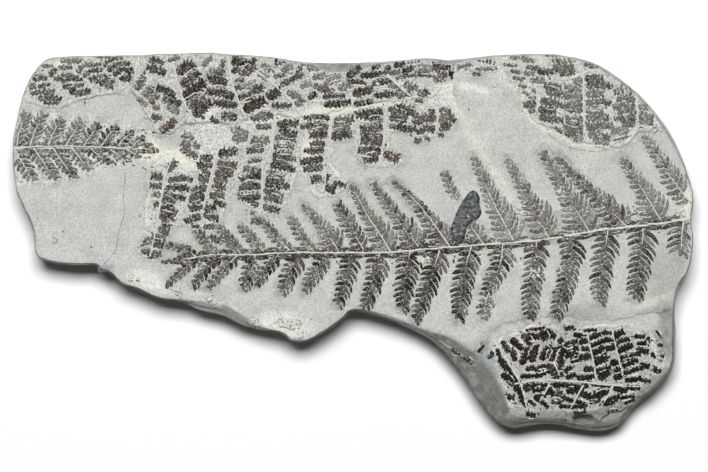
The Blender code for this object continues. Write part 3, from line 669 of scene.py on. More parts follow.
class Imprint:
    """Fern parts gathered into one mesh, with values at each point for their material."""

    def __init__(self, seed, lowest=BED_HEIGHT - 4):
        self.points, self.faces = [], []
        self.lowest = lowest
        self.values = {"darkness": [], "rust": [], "fringe": [], "vein": []}
        self.chance = random.Random(seed)

    def add_strip(self, middle, width, height, spans, darkness, rust=0.0, vein=None, lean=0.0, fringe=1.0):
        """A low closed body along a line, with one half width or a left and a right one at each
        point. Its edges are sunk in the stone, and its sides shift forward by `lean` of the width.
        `spans` gives the raised share of the height across it."""
        aside = left_of(middle)
        forward = np.column_stack((aside[:, 1], -aside[:, 0]))
        width = np.broadcast_to(np.reshape(width, (len(middle), -1)), (len(middle), 2))
        height = np.broadcast_to(height, len(middle))
        rows, lifts, edge = [], [], []
        for across, share in spans:
            shift = width[:, 0 if across < 0 else 1] * across
            rows.append(middle + aside * shift[:, None] + forward * (lean * np.abs(shift))[:, None])
            lifts.append(height * share - EDGE_SUNK * (abs(across) == 1))
            edge.append(np.full(len(middle), fringe * abs(across)))
        rows.append(middle)
        lifts.append(np.full(len(middle), -UNDERSIDE_SUNK))
        edge.append(np.zeros(len(middle)))
        places, lift = np.stack(rows, axis=1).reshape(-1, 2), np.stack(lifts, axis=1).ravel()
        laid = []
        for (x, y), up in zip(places, lift):
            ground = ground_at(x, y)
            if ground < self.lowest:
                return
            laid.append((x, y, ground + up))
        first, size, count = len(self.points), len(spans) + 1, len(middle)
        self.points += laid
        for i in range(count - 1):
            for k in range(size):
                a, b = first + i * size + k, first + i * size + (k + 1) % size
                self.faces.append((b, a, a + size, b + size))
        self.faces.append(tuple(first + k for k in range(size)))
        self.faces.append(tuple(first + (count - 1) * size + k for k in reversed(range(size))))
        vein = np.zeros(count) if vein is None else vein
        for name, value in (("darkness", darkness), ("rust", rust)):
            self.values[name] += [value] * len(laid)
        self.values["fringe"] += np.stack(edge, axis=1).ravel().tolist()
        self.values["vein"] += np.repeat(vein, size).tolist()

    def add_blade(self, base, tip, half_width, darkness, rust=0.0, bow=0.0, height=0.4, count=7, fringe=0.66,
                  blunt=3.4):
        """One small leaf blade with a rounded tip, rounder as `blunt` grows."""
        base, tip = np.array(base, float), np.array(tip, float)
        run = tip - base
        aside = np.array((-run[1], run[0]))
        t = np.linspace(0, 1, count)
        middle = base + run * t[:, None] + aside * (bow * np.sin(math.pi * t))[:, None]
        shape = np.minimum(1, 0.75 + 1.4 * t) * np.sqrt(np.maximum(1 - t ** blunt, 0.04))
        ragged = np.array([[self.chance.uniform(0.82, 1.14) for _ in range(2)] for _ in range(count)])
        high = height * (0.55 + 0.45 * shape)
        high[-1] = 0.12
        spans = ((-1, 0.05), (0, 1), (1, 0.05))
        if count > 5:
            spans = ((-1, 0), (-0.6, 0.95), (0.6, 0.95), (1, 0))
        self.add_strip(middle, half_width * shape[:, None] * ragged, high, spans, darkness, rust,
                       lean=0.2, fringe=fringe)

    def add_toothed_blade(self, base, tip, half, darkness, rust, bow, body, fringe, redden):
        """A broad blade cut into forward-leaning teeth, rustier along its lower side. `body` is
        the uncut share of its width, and `fringe` is how pale the grooves between the teeth are."""
        base, tip = np.array(base, float), np.array(tip, float)
        run = tip - base
        length = np.linalg.norm(run)
        ahead, aside = run / length, np.array((-run[1], run[0])) / length
        self.add_blade(base, tip, half * body, darkness, rust, bow, height=0.26)
        teeth = max(2, round(length / TOOTH_PITCH))
        pitch = length / teeth
        for side in (-1, 1):
            lower = side * aside[1] < 0
            for k in range(teeth):
                t = (k + 0.25 + self.chance.uniform(0, 0.3)) / teeth
                root = base + run * t + aside * (bow * length * math.sin(math.pi * t))
                reach = half * min(1, 0.75 + 1.2 * t) * math.sqrt(1 - 0.8 * t ** 4)
                reach *= self.chance.uniform(0.9, 1.2)
                end = root + aside * side * reach + ahead * reach * self.chance.uniform(0.4, 0.8)
                shade = darkness + self.chance.uniform(-0.35, 0.2)
                reddish = rust + (self.chance.uniform(0.0, redden) if lower else 0.0)
                self.add_blade(root, end, pitch * self.chance.uniform(0.38, 0.56), shade, reddish,
                               height=self.chance.uniform(0.5, 0.7), count=5, fringe=fringe)

    def add_rib(self, points, start_width, end_width, height, whiteness=0.85):
        """A raised pale stalk or midrib that thins from one end to the other."""
        middle = smooth_path(points, 1.5)
        # It stops short of the slab's edge.
        middle = middle[[ground_at(x, y - 1) > self.lowest for x, y in middle]]
        middle = middle + left_of(middle) * (0.3 * wobble(middle, 5.0, 42.0))[:, None]
        share = np.linspace(0, 1, len(middle))
        stray = 1 + 0.45 * wobble(middle, 2.2, 40.0)
        width = (start_width + (end_width - start_width) * share) / 2 * stray
        spans = ((-1, 0), (-0.75, 0.9), (0.75, 0.9), (1, 0))
        self.add_strip(middle, width, height * stray, spans, 0.0, vein=np.full(len(middle), whiteness))

    def add_seam(self, base, tip, offset, half_width, bow, height):
        """A thin raised white line beside a blade, on the side that `offset` points to."""
        base, tip = np.array(base, float), np.array(tip, float)
        run = tip - base
        length = np.linalg.norm(run)
        aside = np.array((-run[1], run[0]))
        count = max(5, round(length / 0.8))
        t = np.linspace(self.chance.uniform(0.0, 0.4), self.chance.uniform(0.6, 1.05), count)
        out = offset * np.minimum(1, 0.8 + 1.2 * t) * np.sqrt(np.maximum(1 - 0.6 * t ** 4, 0.1))
        out = out + np.array([self.chance.uniform(-0.26, 0.26) for _ in t])
        middle = base + run * t[:, None] + aside * (bow * np.sin(math.pi * t) + out / length)[:, None]
        stray = 1 + 0.6 * wobble(middle, 1.3, 44.0)
        taper = np.sin(math.pi * np.linspace(0.06, 0.94, count))
        width = half_width * stray * np.sqrt(np.maximum(taper, 0.05))
        self.add_strip(middle, width, height * stray, ((-1, 0), (0, 1), (1, 0)), 0.0, vein=np.ones(count))

    def add_leaflet(self, axis, behind, ahead, darkness, pale_share, spacing, rust=0.0, fill=0.46,
                    fringe=0.76):
        """A leaflet cut into tongues on both sides of its axis, the `ahead` side being towards +X."""
        path = smooth_path(axis, 0.4)
        run = np.concatenate(([0], np.cumsum(np.linalg.norm(np.diff(path, axis=0), axis=1))))
        length = run[-1]
        aside = left_of(path)
        upward = axis[-1][1] > axis[0][1]
        worn = upward and length > 25
        slim, power, core_share = 0.6, 3.2, 0.17
        if worn:
            # The long upper leaflets are worn, and taper from their foot.
            slim, power, core_share, fill, fringe = 0.72, 1.4, 0.24, 0.52, 0.88
        core = core_share * (behind + ahead) * (1 - slim * (run / length) ** power)
        self.add_strip(path[::3], core[::3], 0.28, ((-1, 0), (-0.6, 0.9), (0.6, 0.9), (1, 0)),
                       darkness - 0.1, rust + 0.2, fringe=0.6)
        at = 0.3 * spacing
        while at < length - 0.4 * spacing:
            t = at / length
            reach = min(1, 0.88 + 0.6 * t) * (1 - slim * t ** power)
            if worn:
                reach *= 1 + 0.8 * max(0, 1 - t / 0.45)
            elif not upward:
                reach *= 1 + 0.45 * max(0, 1 - t / 0.22)
            for side in (-1, 1):
                along = min(at + (0.45 * spacing if side > 0 else 0), length)
                base = np.array([np.interp(along, run, path[:, k]) for k in (0, 1)])
                out = np.array([np.interp(along, run, aside[:, k]) for k in (0, 1)]) * side
                forward = np.array((out[1], -out[0])) * side
                widest = (ahead if out[0] > 0 else behind) * max(abs(out[0]), 0.6)
                angle = math.radians((52 if out[0] > 0 else 70) - 14 * t)
                grow = widest * reach * self.chance.uniform(0.78, 1.1) * (1.0 if upward else 0.94)
                tip = base + (out * math.sin(angle) + forward * math.cos(angle)) * grow / math.sin(angle)
                half = spacing * fill * (0.75 + 0.25 * reach) * self.chance.uniform(0.84, 1.08)
                shade = darkness + self.chance.uniform(-0.25, 0.35)
                base = base + out * 0.1
                bow = 0.08 * side
                reddish = rust + self.chance.uniform(-0.2, 0.3) + 0.2 * (1 - t) ** 2
                self.add_blade(base, tip, half, shade, reddish, bow, height=0.45, count=8, fringe=fringe,
                               blunt=2.4)
                if self.chance.random() < 0.9:
                    self.add_seam(base, tip, side * half * 1.03, half_width=0.34, bow=bow, height=0.62)
            at += spacing * (1 - 0.15 * t)
        end = path[-1] + (path[-1] - path[-4]) * 0.6
        self.add_blade(path[-4], end, spacing * fill * 0.8, darkness, rust)
        if pale_share:
            shown = path[run <= max(length * pale_share, 2)]
            self.add_rib(shown[::3], start_width=0.8, end_width=0.3, height=0.62)

    def add_coarse_blades(self, table, seams=0.6, fullness=1.12, deepen=0.0, film=0.6, body=0.85,
                          fringe=1.0, redden=0.6, crumbs=1):
        """Toothed blades with ragged white ridges between them, and the film they leave on the
        stone. Each row of the table is base, tip, half width, darkness and, where it has one, rust.
        `seams` is how often a ridge stands beside a blade, and `crumbs` the loose bits of each."""
        for x, y, tip_x, tip_y, half, darkness, *rust in table:
            bow = self.chance.uniform(-0.06, 0.06)
            reddish = rust[0] if rust else self.chance.uniform(0, 0.2)
            self.add_toothed_blade((x, y), (tip_x, tip_y), half * fullness, darkness + deepen, reddish, bow,
                                   body, fringe, redden)
            self.add_crumbs(x, y, tip_x, tip_y, half + 0.2, crumbs, darkness)
            upper = 1 if tip_x > x else -1
            for side, share in ((upper, seams), (-upper, 0.4 * seams)):
                if self.chance.random() < share:
                    offset = side * (half * fullness * 1.1 + 0.45)
                    half_seam = self.chance.uniform(0.3, 0.6)
                    self.add_seam((x, y), (tip_x, tip_y), offset, half_seam, bow, height=0.72)
        stain_stone(table, margin=1.6, strength=film)

    def add_chip(self, x, y, long, wide, turn):
        """A ragged patch of thin white flakes, given as half its length and width and its turn."""
        c, s = math.cos(math.radians(turn)), math.sin(math.radians(turn))
        for _ in range(max(3, round(long * wide * 2.5))):
            reach, around = math.sqrt(self.chance.random()), self.chance.uniform(0, math.tau)
            u, v = long * reach * math.cos(around) * 0.85, wide * reach * math.sin(around) * 0.85
            size, lie = self.chance.uniform(0.9, 1.9), self.chance.uniform(0, math.tau)
            base = (x + u * c - v * s, y + u * s + v * c)
            tip = (base[0] + size * math.cos(lie), base[1] + size * math.sin(lie))
            self.add_flake(base, tip, size * self.chance.uniform(0.35, 0.6))

    def add_flake(self, base, tip, half):
        """One thin flat flake of white mineral."""
        t = np.linspace(0, 1, 4)
        base, tip = np.array(base), np.array(tip)
        width = half * np.array([[self.chance.uniform(0.5, 1.2) for _ in range(2)] for _ in t])
        spans = ((-1, 0.4), (0, 1), (1, 0.4))
        self.add_strip(base + (tip - base) * t[:, None], width, self.chance.uniform(0.6, 0.8), spans, 0.0,
                       vein=np.full(4, self.chance.uniform(0.8, 1.0)))

    def add_crumbs(self, x, y, tip_x, tip_y, spread_out, count, darkness, rust=0.2):
        """Small broken pieces of film scattered along a line."""
        for _ in range(count):
            t, lie = self.chance.random(), self.chance.uniform(0, math.tau)
            size = self.chance.uniform(0.8, 2.2)
            base = (x + (tip_x - x) * t + self.chance.gauss(0, spread_out),
                    y + (tip_y - y) * t + self.chance.gauss(0, spread_out))
            tip = (base[0] + size * math.cos(lie), base[1] + size * math.sin(lie))
            half = size * self.chance.uniform(0.25, 0.45)
            shade = darkness + self.chance.uniform(-0.3, 0.2)
            reddish = rust + self.chance.uniform(-0.2, 0.4)
            self.add_blade(base, tip, half, shade, reddish, height=0.35, count=5)

    def add_shade_line(self, points, width, step=0.8):
        """A dark line of painted shade, as in a hairline crack, wandering a little and broken where it thins.
        """
        middle = smooth_path(points, step)
        stray = 0.35 * wobble(middle, 3.0, 71.0) + 0.2 * wobble(middle, 1.1, 73.0)
        middle = middle + left_of(middle) * stray[:, None]
        thin = np.maximum(0.15, 0.8 + 0.9 * wobble(middle, 2.4, 75.0))
        self.add_strip(middle, width / 2 * thin, 0.14, ((-1, 0), (0, 1), (1, 0)), 1.3, fringe=0.0)

    def finish(self, name, material):
        """Makes the gathered parts one piece on the slab."""
        piece = new_piece(name, self.points, self.faces)
        for key, values in self.values.items():
            add_mask(piece, key, values)
        piece.data.materials.append(material)
        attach(piece, "root")


def stain_stone(table, margin, strength=0.9):
    """Darkens the stone near the blades in the table, where a thin film of carbon is left."""
    places = slab_points[:face_point_count, :2]
    layer = slab.data.attributes["carbon_film_and_shade"]
    stain = np.zeros(len(slab_points), np.float32)
    layer.data.foreach_get("value", stain)
    ragged = 0.9 * wobble(places, 1.8, 51.0) + 0.5 * wobble(places, 4.0, 53.0)
    for x, y, tip_x, tip_y, half, darkness, *_ in table:
        span = max(abs(tip_x - x), abs(tip_y - y)) / 2 + half + margin + 2
        middle = np.array(((x + tip_x) / 2, (y + tip_y) / 2))
        near = np.nonzero((np.abs(places - middle) < span).all(axis=1))[0]
        away = path_distance(places[near], np.array(((x, y), (tip_x, tip_y)), float))
        film = strength * darkness * soft_step(half + margin - away + ragged[near], 1.2)
        stain[near] = np.maximum(stain[near], film)
    layer.data.foreach_set("value", stain)


CARBON = (0.006, 0.0058, 0.0054, 1.0)
CARBON_FILM = (0.2, 0.195, 0.178, 1.0)
RUST_BROWN = (0.085, 0.052, 0.03, 1.0)
PALE_VEIN = (0.53, 0.53, 0.48, 1.0)


def imprint_material():
    """Dull black-brown carbon, flecked, rusty in places, with white mineral in its grooves. At its darkest it
    also paints the shade lines of cracks and ledges.
    """
    material, tree, shader = new_material("carbon_film", roughness=0.65, shine=0.06)
    darkness, vein = mask_of(tree, "darkness"), mask_of(tree, "vein")
    fleck = spread(tree, grain_noise(tree, 0.8, 3.0, 0.7), 0.33, 0.67, -0.4, 0.4)
    light = node(tree, "Math", {"operation": "ADD", "use_clamp": True}, _0=fleck,
                 _1=spread(tree, darkness, 0.0, 1.5, 1.05, -0.62)).outputs[0]
    colour = blend_colour(tree, light, CARBON, CARBON_FILM)
    rusty = times(tree, mask_of(tree, "rust"), spread(tree, grain_noise(tree, 1.6, 2.0), 0.42, 0.6))
    colour = blend_colour(tree, rusty, colour, RUST_BROWN)
    dust = times(tree, spread(tree, grain_noise(tree, 0.85, 2.0, 0.6), 0.56, 0.66),
                 spread(tree, darkness, 0.4, 1.2, 0.95, 0.1))
    colour = blend_colour(tree, dust, colour, PALE_VEIN)
    fringe = times(tree, spread(tree, mask_of(tree, "fringe"), 0.5, 0.9),
                   spread(tree, grain_noise(tree, 1.2, 2.0), 0.35, 0.6, 0.15, 0.75))
    colour = blend_colour(tree, fringe, colour, PALE_VEIN)
    vein = times(tree, vein, spread(tree, grain_noise(tree, 1.4, 3.0), 0.34, 0.52, 0.6, 1.0))
    colour = blend_colour(tree, vein, colour, PALE_VEIN)
    finish_surface(tree, shader, colour, strength=0.7, depth=0.25, relief=grain_noise(tree, 0.7, 3.0))
    return material


carbon_film = imprint_material()
long_frond = Imprint(11)
stalk_x, stalk_y = np.array(MAIN_STALK[::-1]).T
LIGHTER, UPPER_LIGHTER = 0.17, 0.035  # how much the leaflets' darkness is eased off
# How far a thin film reaches on the stone round the leaflets, the stalk, and the leaflets' feet.
LEAFLET_FILM, STALK_FILM, FOOT_FILM = 0.4, 0.6, 1.5
FILM_PLACES = np.arange(-74.0, 146.0, 3.6)
SCRAP_PLACES = np.arange(-70.0, 148.0, 3.8)
# The tongues that lie along the stalk: start and end from the leaflet's foot, height off the
# stalk at each, half width, how much darker than the leaflet, and rust.
STALK_TONGUES = (
    (-0.3, -7.5, 1.2, 1.5, 1.3, 0.1, 0.55),
    (0.3, 5.0, 1.3, 2.0, 1.1, 0.0, 0.4),
)
# Broken, lumpy pieces among the leaflets at the frond's worn end.
WORN_END_BLADES = (
    (-72.5, -3, -79, -1.5, 1.2, 0.5), (-65, -1, -70.5, 2.5, 1.6, 0.5),
    (-60, 0.2, -64.8, 3.2, 1.6, 0.6), (-52.8, -2.2, -60.2, 3, 2.0, 0.65),
    (-59.5, -4.6, -66.3, -2.6, 1.4, 0.5), (-71, -7.6, -79.5, -6.2, 1.2, 0.5),
)


def stalk_level(x):
    """The stalk's y at x."""
    return float(np.interp(x, stalk_x, stalk_y))


for base, middle, tip, behind, ahead, darkness, pale_share in MAIN_LEAFLETS:
    side = math.copysign(1, tip[1] - base[1])
    shade = darkness - LIGHTER - UPPER_LIGHTER * (1 + side)
    long_frond.add_leaflet((base, middle, tip), behind, ahead, shade, pale_share, MAIN_SPACING)
    if abs(base[1] - stalk_level(base[0])) < 3:
        for start, end, near, far, half, darker, rust in STALK_TONGUES:
            long_frond.add_blade((base[0] + start, stalk_level(base[0]) + near * side),
                                 (base[0] + end, stalk_level(base[0] + end) + far * side),
                                 half, darkness + darker, rust)
stain_stone([(*base, *tip, 0.25 * (behind + ahead), darkness)
             for base, _, tip, behind, ahead, darkness, _ in MAIN_LEAFLETS], LEAFLET_FILM)
chance = random.Random(13)
for start in FILM_PLACES:
    for side in (-1, 1):
        # Film left along the stalk, thinner where it is worn, and crumbs between the leaflets.
        if chance.random() < (0.6 if start < 10 else 0.3):
            continue
        worn = 0.15 if side > 0 and start > 55 else 0.0
        end = start + chance.uniform(4, 6.5)
        low, high = stalk_level(start), stalk_level(end)
        far = (end, high + side * chance.uniform(1.5, 2.1))
        near = (start, low + side * chance.uniform(1.7, 2.7))
        half, shade = chance.uniform(0.6, 1.2), chance.uniform(0.45, 0.9) - worn
        long_frond.add_blade(far, near, half, shade, chance.uniform(-0.1, 0.4))
        if -12 < start < 135:
            reach, crumbs = (9, 6) if side > 0 else (-5, 2)
            long_frond.add_crumbs(start, low + 2.5 * side, start - 2 * side, low + reach,
                                  spread_out=1.3, count=crumbs, darkness=0.65 - worn, rust=0.35)
stain_stone([(*a, *b, 1.8, 0.55) for a, b in zip(MAIN_STALK, MAIN_STALK[1:])], STALK_FILM)
stain_stone([(x, y + 2, x - 3, y + 8, 2.5, 0.6) for x, y in MAIN_STALK[2:11]], FOOT_FILM)
long_frond.add_coarse_blades(WORN_END_BLADES, seams=0.3, film=0.6)
long_frond.add_rib(MAIN_STALK, start_width=1.3, end_width=0.7, height=0.65)
for start in SCRAP_PLACES:
    # Scraps of film that lap over the stalk's edges.
    x = start + chance.uniform(0, 4)
    y = stalk_level(x) + chance.choice((-0.75, 0.65))
    tip = (x - chance.uniform(1.5, 4.5), y + chance.uniform(-0.5, 0.4))
    long_frond.add_blade((x, y), tip, half_width=0.45, darkness=0.8, rust=0.5, height=0.95)
long_frond.finish("long_frond", carbon_film)

# ==== The loose leaf ===============================================================
# A blue-black blade from another plant that lies against the long frond. It is shiny coal,
# thicker than the fern's film, and its edge is sunk in the stone.
LOOSE_LEAF = (
    (52.4, 23), (50.2, 20.3), (47, 14.9), (44.8, 9.5), (43.4, 5), (44.3, 1.4), (47, -0.9), (49.7, 0),
    (50.6, 3.6), (52.4, 8.1), (56, 10.4), (57.8, 13.5), (56.9, 17.1), (56.9, 20.7), (54.7, 23.4),
)
BLUE_BLACK = (0.013, 0.016, 0.019, 1.0)
BLUE_GREY = (0.1, 0.107, 0.111, 1.0)


def leaf_material():
    """Blue-black coal with grey lumps and a few pale specks."""
    material, tree, shader = new_material("leaf_coal", roughness=0.5, shine=0.3)
    lumps = spread(tree, grain_noise(tree, 1.5, 3.0, 0.7), 0.45, 0.62)
    colour = blend_colour(tree, lumps, BLUE_BLACK, BLUE_GREY)
    specks = spread(tree, grain_noise(tree, 0.8, 2.0), 0.66, 0.72)
    colour = blend_colour(tree, specks, colour, PALE_VEIN)
    finish_surface(tree, shader, colour, strength=0.9, depth=0.5, relief=grain_noise(tree, 1.6, 3.0))
    return material


def lay_patch(name, outline, thickness):
    """A thin plate of any outline that lies on the slab, its edge sunk in the stone."""
    spacing, edge_sunk = 0.9, 0.1
    edge = smooth_path(outline, spacing, closed=True)
    edge = edge + left_of(edge, closed=True) * (0.25 * wobble(edge, 1.5, 61.0))[:, None]
    low, high = edge.min(axis=0), edge.max(axis=0)
    inner = np.mgrid[low[0]:high[0]:spacing, low[1]:high[1]:spacing].reshape(2, -1).T
    inner = inner[is_inside(inner, edge) & (path_distance(inner, edge, closed=True) > 0.5)]
    places, faces, order = sheet(edge, inner)
    ground = np.array([ground_at(x, y) for x, y in places])
    thick = thickness * soft_step(path_distance(places, edge, closed=True) - 0.35, 0.7)
    height = ground + thick * (1 + 0.3 * wobble(places, 2.5, 63.0)) - edge_sunk
    top = np.column_stack((places, height))
    bottom = top[order] - (0, 0, UNDERSIDE_SUNK)
    ring = [len(top) + i for i in range(len(order))]
    faces += side_faces(order, ring) + [tuple(reversed(ring))]
    return new_piece(name, np.vstack((top, bottom)), faces)


loose_leaf = lay_patch("loose_leaf", LOOSE_LEAF, thickness=0.9)
loose_leaf.data.materials.append(leaf_material())
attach(loose_leaf, "root")

# ==== The left frond ===============================================================
# A smaller fern that runs off the slab's left edge, with a pale stalk and short, broad tongues.
# Its film of carbon is worn to grey, and grew into the stone as the long frond's did.
LEFT_STALK = ((-153, 42.3), (-143, 43.2), (-130, 43.4), (-114, 43), (-100, 42))
# Each leaflet: its axis, its reach towards -X and towards +X, and how dark it is.
LEFT_LEAFLETS = (
    ((-151.5, 43.5), (-150, 51), (-147, 58.5), 3.6, 4, 0.5),
    ((-145.5, 43.5), (-143, 51), (-139.5, 57.5), 4, 4, 0.5),
    ((-137.5, 43.5), (-135, 49.5), (-131, 55.5), 4, 4, 0.55),
    ((-129.5, 43.5), (-126, 49), (-122.5, 54.5), 4, 3.6, 0.6),
    ((-121.5, 43.5), (-118, 48.5), (-114.5, 53.5), 4, 3.6, 0.7),
    ((-113.5, 43.5), (-110.5, 48), (-106.5, 52), 3.6, 3.6, 0.75),
    ((-106, 43.5), (-103, 47), (-99, 50), 3.1, 3.1, 0.75),
    ((-99.5, 43), (-97, 46), (-94, 47.5), 2.7, 2.7, 0.6),
    ((-152.5, 42.5), (-149, 36), (-144, 28), 4, 4, 0.55),
    ((-144, 42.5), (-139.5, 36), (-134, 28.5), 4, 4, 0.6),
    ((-135, 42.5), (-131, 36.5), (-126, 29.5), 3.6, 4, 0.6),
    ((-126.5, 42.5), (-123, 38), (-119, 32.5), 3.6, 3.6, 0.6),
    ((-118, 42.5), (-114.5, 39), (-109.5, 36), 3.6, 3.1, 0.7),
    ((-109.5, 42), (-106.5, 40), (-102.5, 38), 3.1, 2.7, 0.6),
    ((-102, 42), (-99.5, 40.5), (-96.5, 38.5), 2.7, 2.2, 0.6),
    ((-95, 42.5), (-92, 42), (-88, 41), 2.2, 2.2, 0.75),
)
LEFT_PALE_SHARE = 0.8  # how much of a leaflet's length shows a pale midrib
LEFT_FULLNESS, LEFT_LIGHTER = 1.15, 0.14
LEFT_SPACING = 2.4
STALK_Y = 42.8  # near enough to the stalk for the film beside it
left_frond = Imprint(23)
for base, middle, tip, behind, ahead, darkness in LEFT_LEAFLETS:
    left_frond.add_leaflet((base, middle, tip), behind * LEFT_FULLNESS, ahead * LEFT_FULLNESS,
                           darkness - LEFT_LIGHTER, LEFT_PALE_SHARE, LEFT_SPACING,
                           rust=-0.25, fill=0.47, fringe=0.74)
for start in np.arange(-152.0, -92.0, 3.2):
    for side in (-1, 1):
        # Film and crumbs of it along the stalk.
        tip = (start + 4.5, STALK_Y + side * left_frond.chance.uniform(1.4, 2.4))
        shade = left_frond.chance.uniform(0.4, 0.8)
        left_frond.add_blade((start, STALK_Y + side * 1.2), tip, half_width=1.1, darkness=shade, rust=0.1)
        left_frond.add_crumbs(start, STALK_Y + 3 * side, start + 4, STALK_Y + 8 * side,
                              spread_out=1.4, count=3, darkness=0.6)
stain_stone([(*base, *tip, 0.3 * (behind + ahead), darkness + 0.2)
             for base, _, tip, behind, ahead, darkness in LEFT_LEAFLETS], margin=0.9, strength=0.5)
left_frond.add_rib(LEFT_STALK, start_width=0.9, end_width=0.4, height=0.65)
left_frond.finish("left_frond", carbon_film)

# ==== The coarse ferns of the upper layer ==========================================
# Large scalloped blades of dark brown carbon along the upper edge and in the left corner, with
# ragged white ridges of mineral between them. Each is a film in the top of its own thin layer.
BAND_BLADES = (  # base, tip, half width, darkness and, where it has one, rust
    (-85, 80.5, -92, 82, 1.6, 0.7), (-84, 76.5, -93, 79, 1.8, 0.8), (-80, 66, -88.5, 70, 1.8, 0.85),
    (-77.5, 62, -85.5, 65, 2, 0.85), (-78, 58.5, -84, 61, 1.6, 0.45),
    (-97.5, 68.5, -94, 75, 1.8, 0.6, 0.5), (-94.5, 64.5, -91, 69.5, 2, 0.5, 0.5),
    (-91.5, 62.5, -88, 67, 1.8, 0.6, 0.6), (-97.5, 65.5, -93, 61.5, 1.1, 0.4),
    (-90.5, 61.5, -87, 60.5, 1.4, 0.4), (-91, 57, -86, 56, 1.4, 0.7),
    (-87, 50, -80, 55.5, 2, 0.75, 0.8), (-79.5, 76, -71.5, 80.5, 2.7, 0.9, 0.3),
    (-77.5, 70.5, -69.5, 77, 2.2, 0.85, 0.4), (-76.5, 65, -67, 72.5, 2.9, 1, 0.3),
    (-75, 61, -66.5, 65.5, 2.5, 0.7), (-72.5, 56.5, -64, 63, 2.7, 0.85, 0.3),
    (-83.5, 82, -78, 83.5, 1.1, 0.5), (-68, 79.5, -63.5, 83.5, 1.4, 0.35),
    (-59, 78.5, -58.5, 82.5, 1.1, 0.7), (-57.5, 76.5, -64.5, 77, 1.6, 0.6),
    (-56.5, 71.5, -66, 74, 2.5, 0.85), (-53.5, 65.5, -66.5, 68, 2.2, 0.85),
    (-52, 61.5, -63, 63.5, 2, 0.85, 0.3), (-52, 56.5, -59.5, 56.5, 2.2, 0.75),
    (-60.5, 54, -64, 56.5, 1.4, 0.75), (-66.5, 56, -68.5, 56.5, 0.9, 0.6),
    (-55, 81.5, -46.5, 80.5, 1.8, 0.9), (-54.5, 83.5, -49.5, 83.5, 0.9, 0.8),
    (-46, 80, -44, 83, 1.1, 0.9), (-51.5, 75.5, -43.5, 79, 2, 0.65, 0.3), (-55, 77, -51, 78, 1.4, 0.8),
    (-53.5, 72.5, -49, 73, 1.1, 0.6), (-54, 69.5, -49.5, 70, 1.4, 0.7), (-49.5, 70, -43, 72, 1.6, 0.35),
    (-52, 65, -45.5, 66.5, 1.8, 0.85, 0.3), (-46.5, 66.5, -40.5, 70.5, 2, 0.85, 0.3),
    (-49.5, 59.5, -39.5, 64, 2.9, 0.95, 0.4), (-46.5, 56, -36, 57, 2, 0.6),
    (-39, 65, -32.5, 69, 2.5, 0.9, 0.2), (-37, 62, -27.5, 62, 1.4, 0.75),
    (-36, 81, -28.5, 82.5, 1.8, 0.85), (-32.5, 77, -27, 79.5, 1.6, 0.55),
    (-28.5, 73.5, -22.5, 76, 1.6, 0.75), (-33, 71, -27.5, 73.5, 1.4, 0.75),
    (-36, 74.5, -31, 75, 1, 0.7), (-25.5, 76.5, -22.5, 80.5, 1.1, 0.6), (-30, 68, -24, 65, 1.8, 0.5),
    (-26.5, 61.5, -22.5, 64.5, 1.6, 0.55), (-20.5, 65, -16.5, 67, 1.6, 0.85),
    (-18, 71, -8.5, 68, 1.6, 0.55, 0.7), (-14, 65.5, -3.5, 66, 1.4, 0.85),
    (-13.5, 62, -1, 63.5, 1.6, 0.9), (-3, 74.5, 3.5, 79, 1.8, 0.85), (-3, 72.5, 6, 71.5, 1.1, 0.9),
    (3, 75, 15.5, 75, 1.6, 0.95), (8.5, 71.5, 17.5, 72.5, 1.4, 0.85), (8, 78.5, 11.5, 79, 1.1, 0.9),
    (13.5, 81.5, 18, 82, 0.8, 0.9), (14, 78, 17, 79, 0.9, 0.85), (18, 79.5, 23.5, 80.5, 1.4, 0.9),
    (22, 76, 27, 79, 1.6, 0.9), (19, 74, 37, 74.5, 0.9, 0.6), (-0.5, 66.5, 9, 69.5, 2.2, 0.8, 0.5),
    (0, 62.5, 9, 64, 1.4, 0.85), (9.5, 66, 20, 67, 1.6, 0.7, 0.4), (15.5, 70.5, 21.5, 69, 1.4, 0.5),
    (19.5, 65.5, 26, 67.5, 1.6, 0.6), (22.5, 71.5, 29, 69.5, 1.8, 0.5), (29, 66, 33.5, 68.5, 2, 0.6),
    (27.5, 64, 31.5, 63.5, 0.9, 0.7), (-13.5, 71, -6, 73.5, 1.4, 0.35), (-7, 69, -0.5, 71.5, 1.8, 0.35),
    (-18.5, 74, -12.5, 76, 1.4, 0.35), (-12.5, 73.5, -6, 75, 1.4, 0.3), (29, 79.5, 36, 78, 1.8, 0.35),
    (36, 73, 41.5, 74, 1.4, 0.5, 0.5), (-24, 70, -18.5, 71.5, 1.4, 0.3),
    (35, 81.5, 43, 81.8, 1.6, 0.75, 0.5), (35.5, 78.5, 43, 78.8, 1.5, 0.85, 0.5),
    (37.5, 75.8, 42.5, 76, 1.2, 0.8, 0.6), (56, 82.5, 64, 80.5, 1.1, 0.5), (46.5, 81.5, 54, 83, 0.9, 0.35),
    (46.5, 78.5, 53.5, 80, 0.9, 0.4), (53.5, 75.8, 57.5, 75.4, 0.9, 0.6, 0.4),
    (54.5, 78.2, 65, 78.5, 0.8, 0.45, 0.3), (70.5, 83, 75, 83.5, 0.9, 0.5), (67.5, 80.5, 74, 79.8, 0.8, 0.45),
    (70.5, 77.5, 75.5, 76.5, 0.9, 0.5), (71.5, 74.5, 76.5, 73, 0.9, 0.5), (74, 71, 78.5, 70, 0.8, 0.45),
    (76, 68, 79, 66.5, 0.7, 0.45), (-43, 76.5, -38.5, 73.5, 1.6, 0.4), (-41.5, 80.5, -37.5, 77, 1.5, 0.4),
    (-31, 83, -26, 83.4, 0.9, 0.5), (13.5, 77, 21, 76.5, 1.2, 0.55), (24, 81.5, 30, 82, 1.1, 0.6),
    (27.5, 76, 34, 77, 1.3, 0.5), (11, 74, 16, 73, 1.2, 0.5), (-21, 79.5, -16, 78, 1.2, 0.35),
)
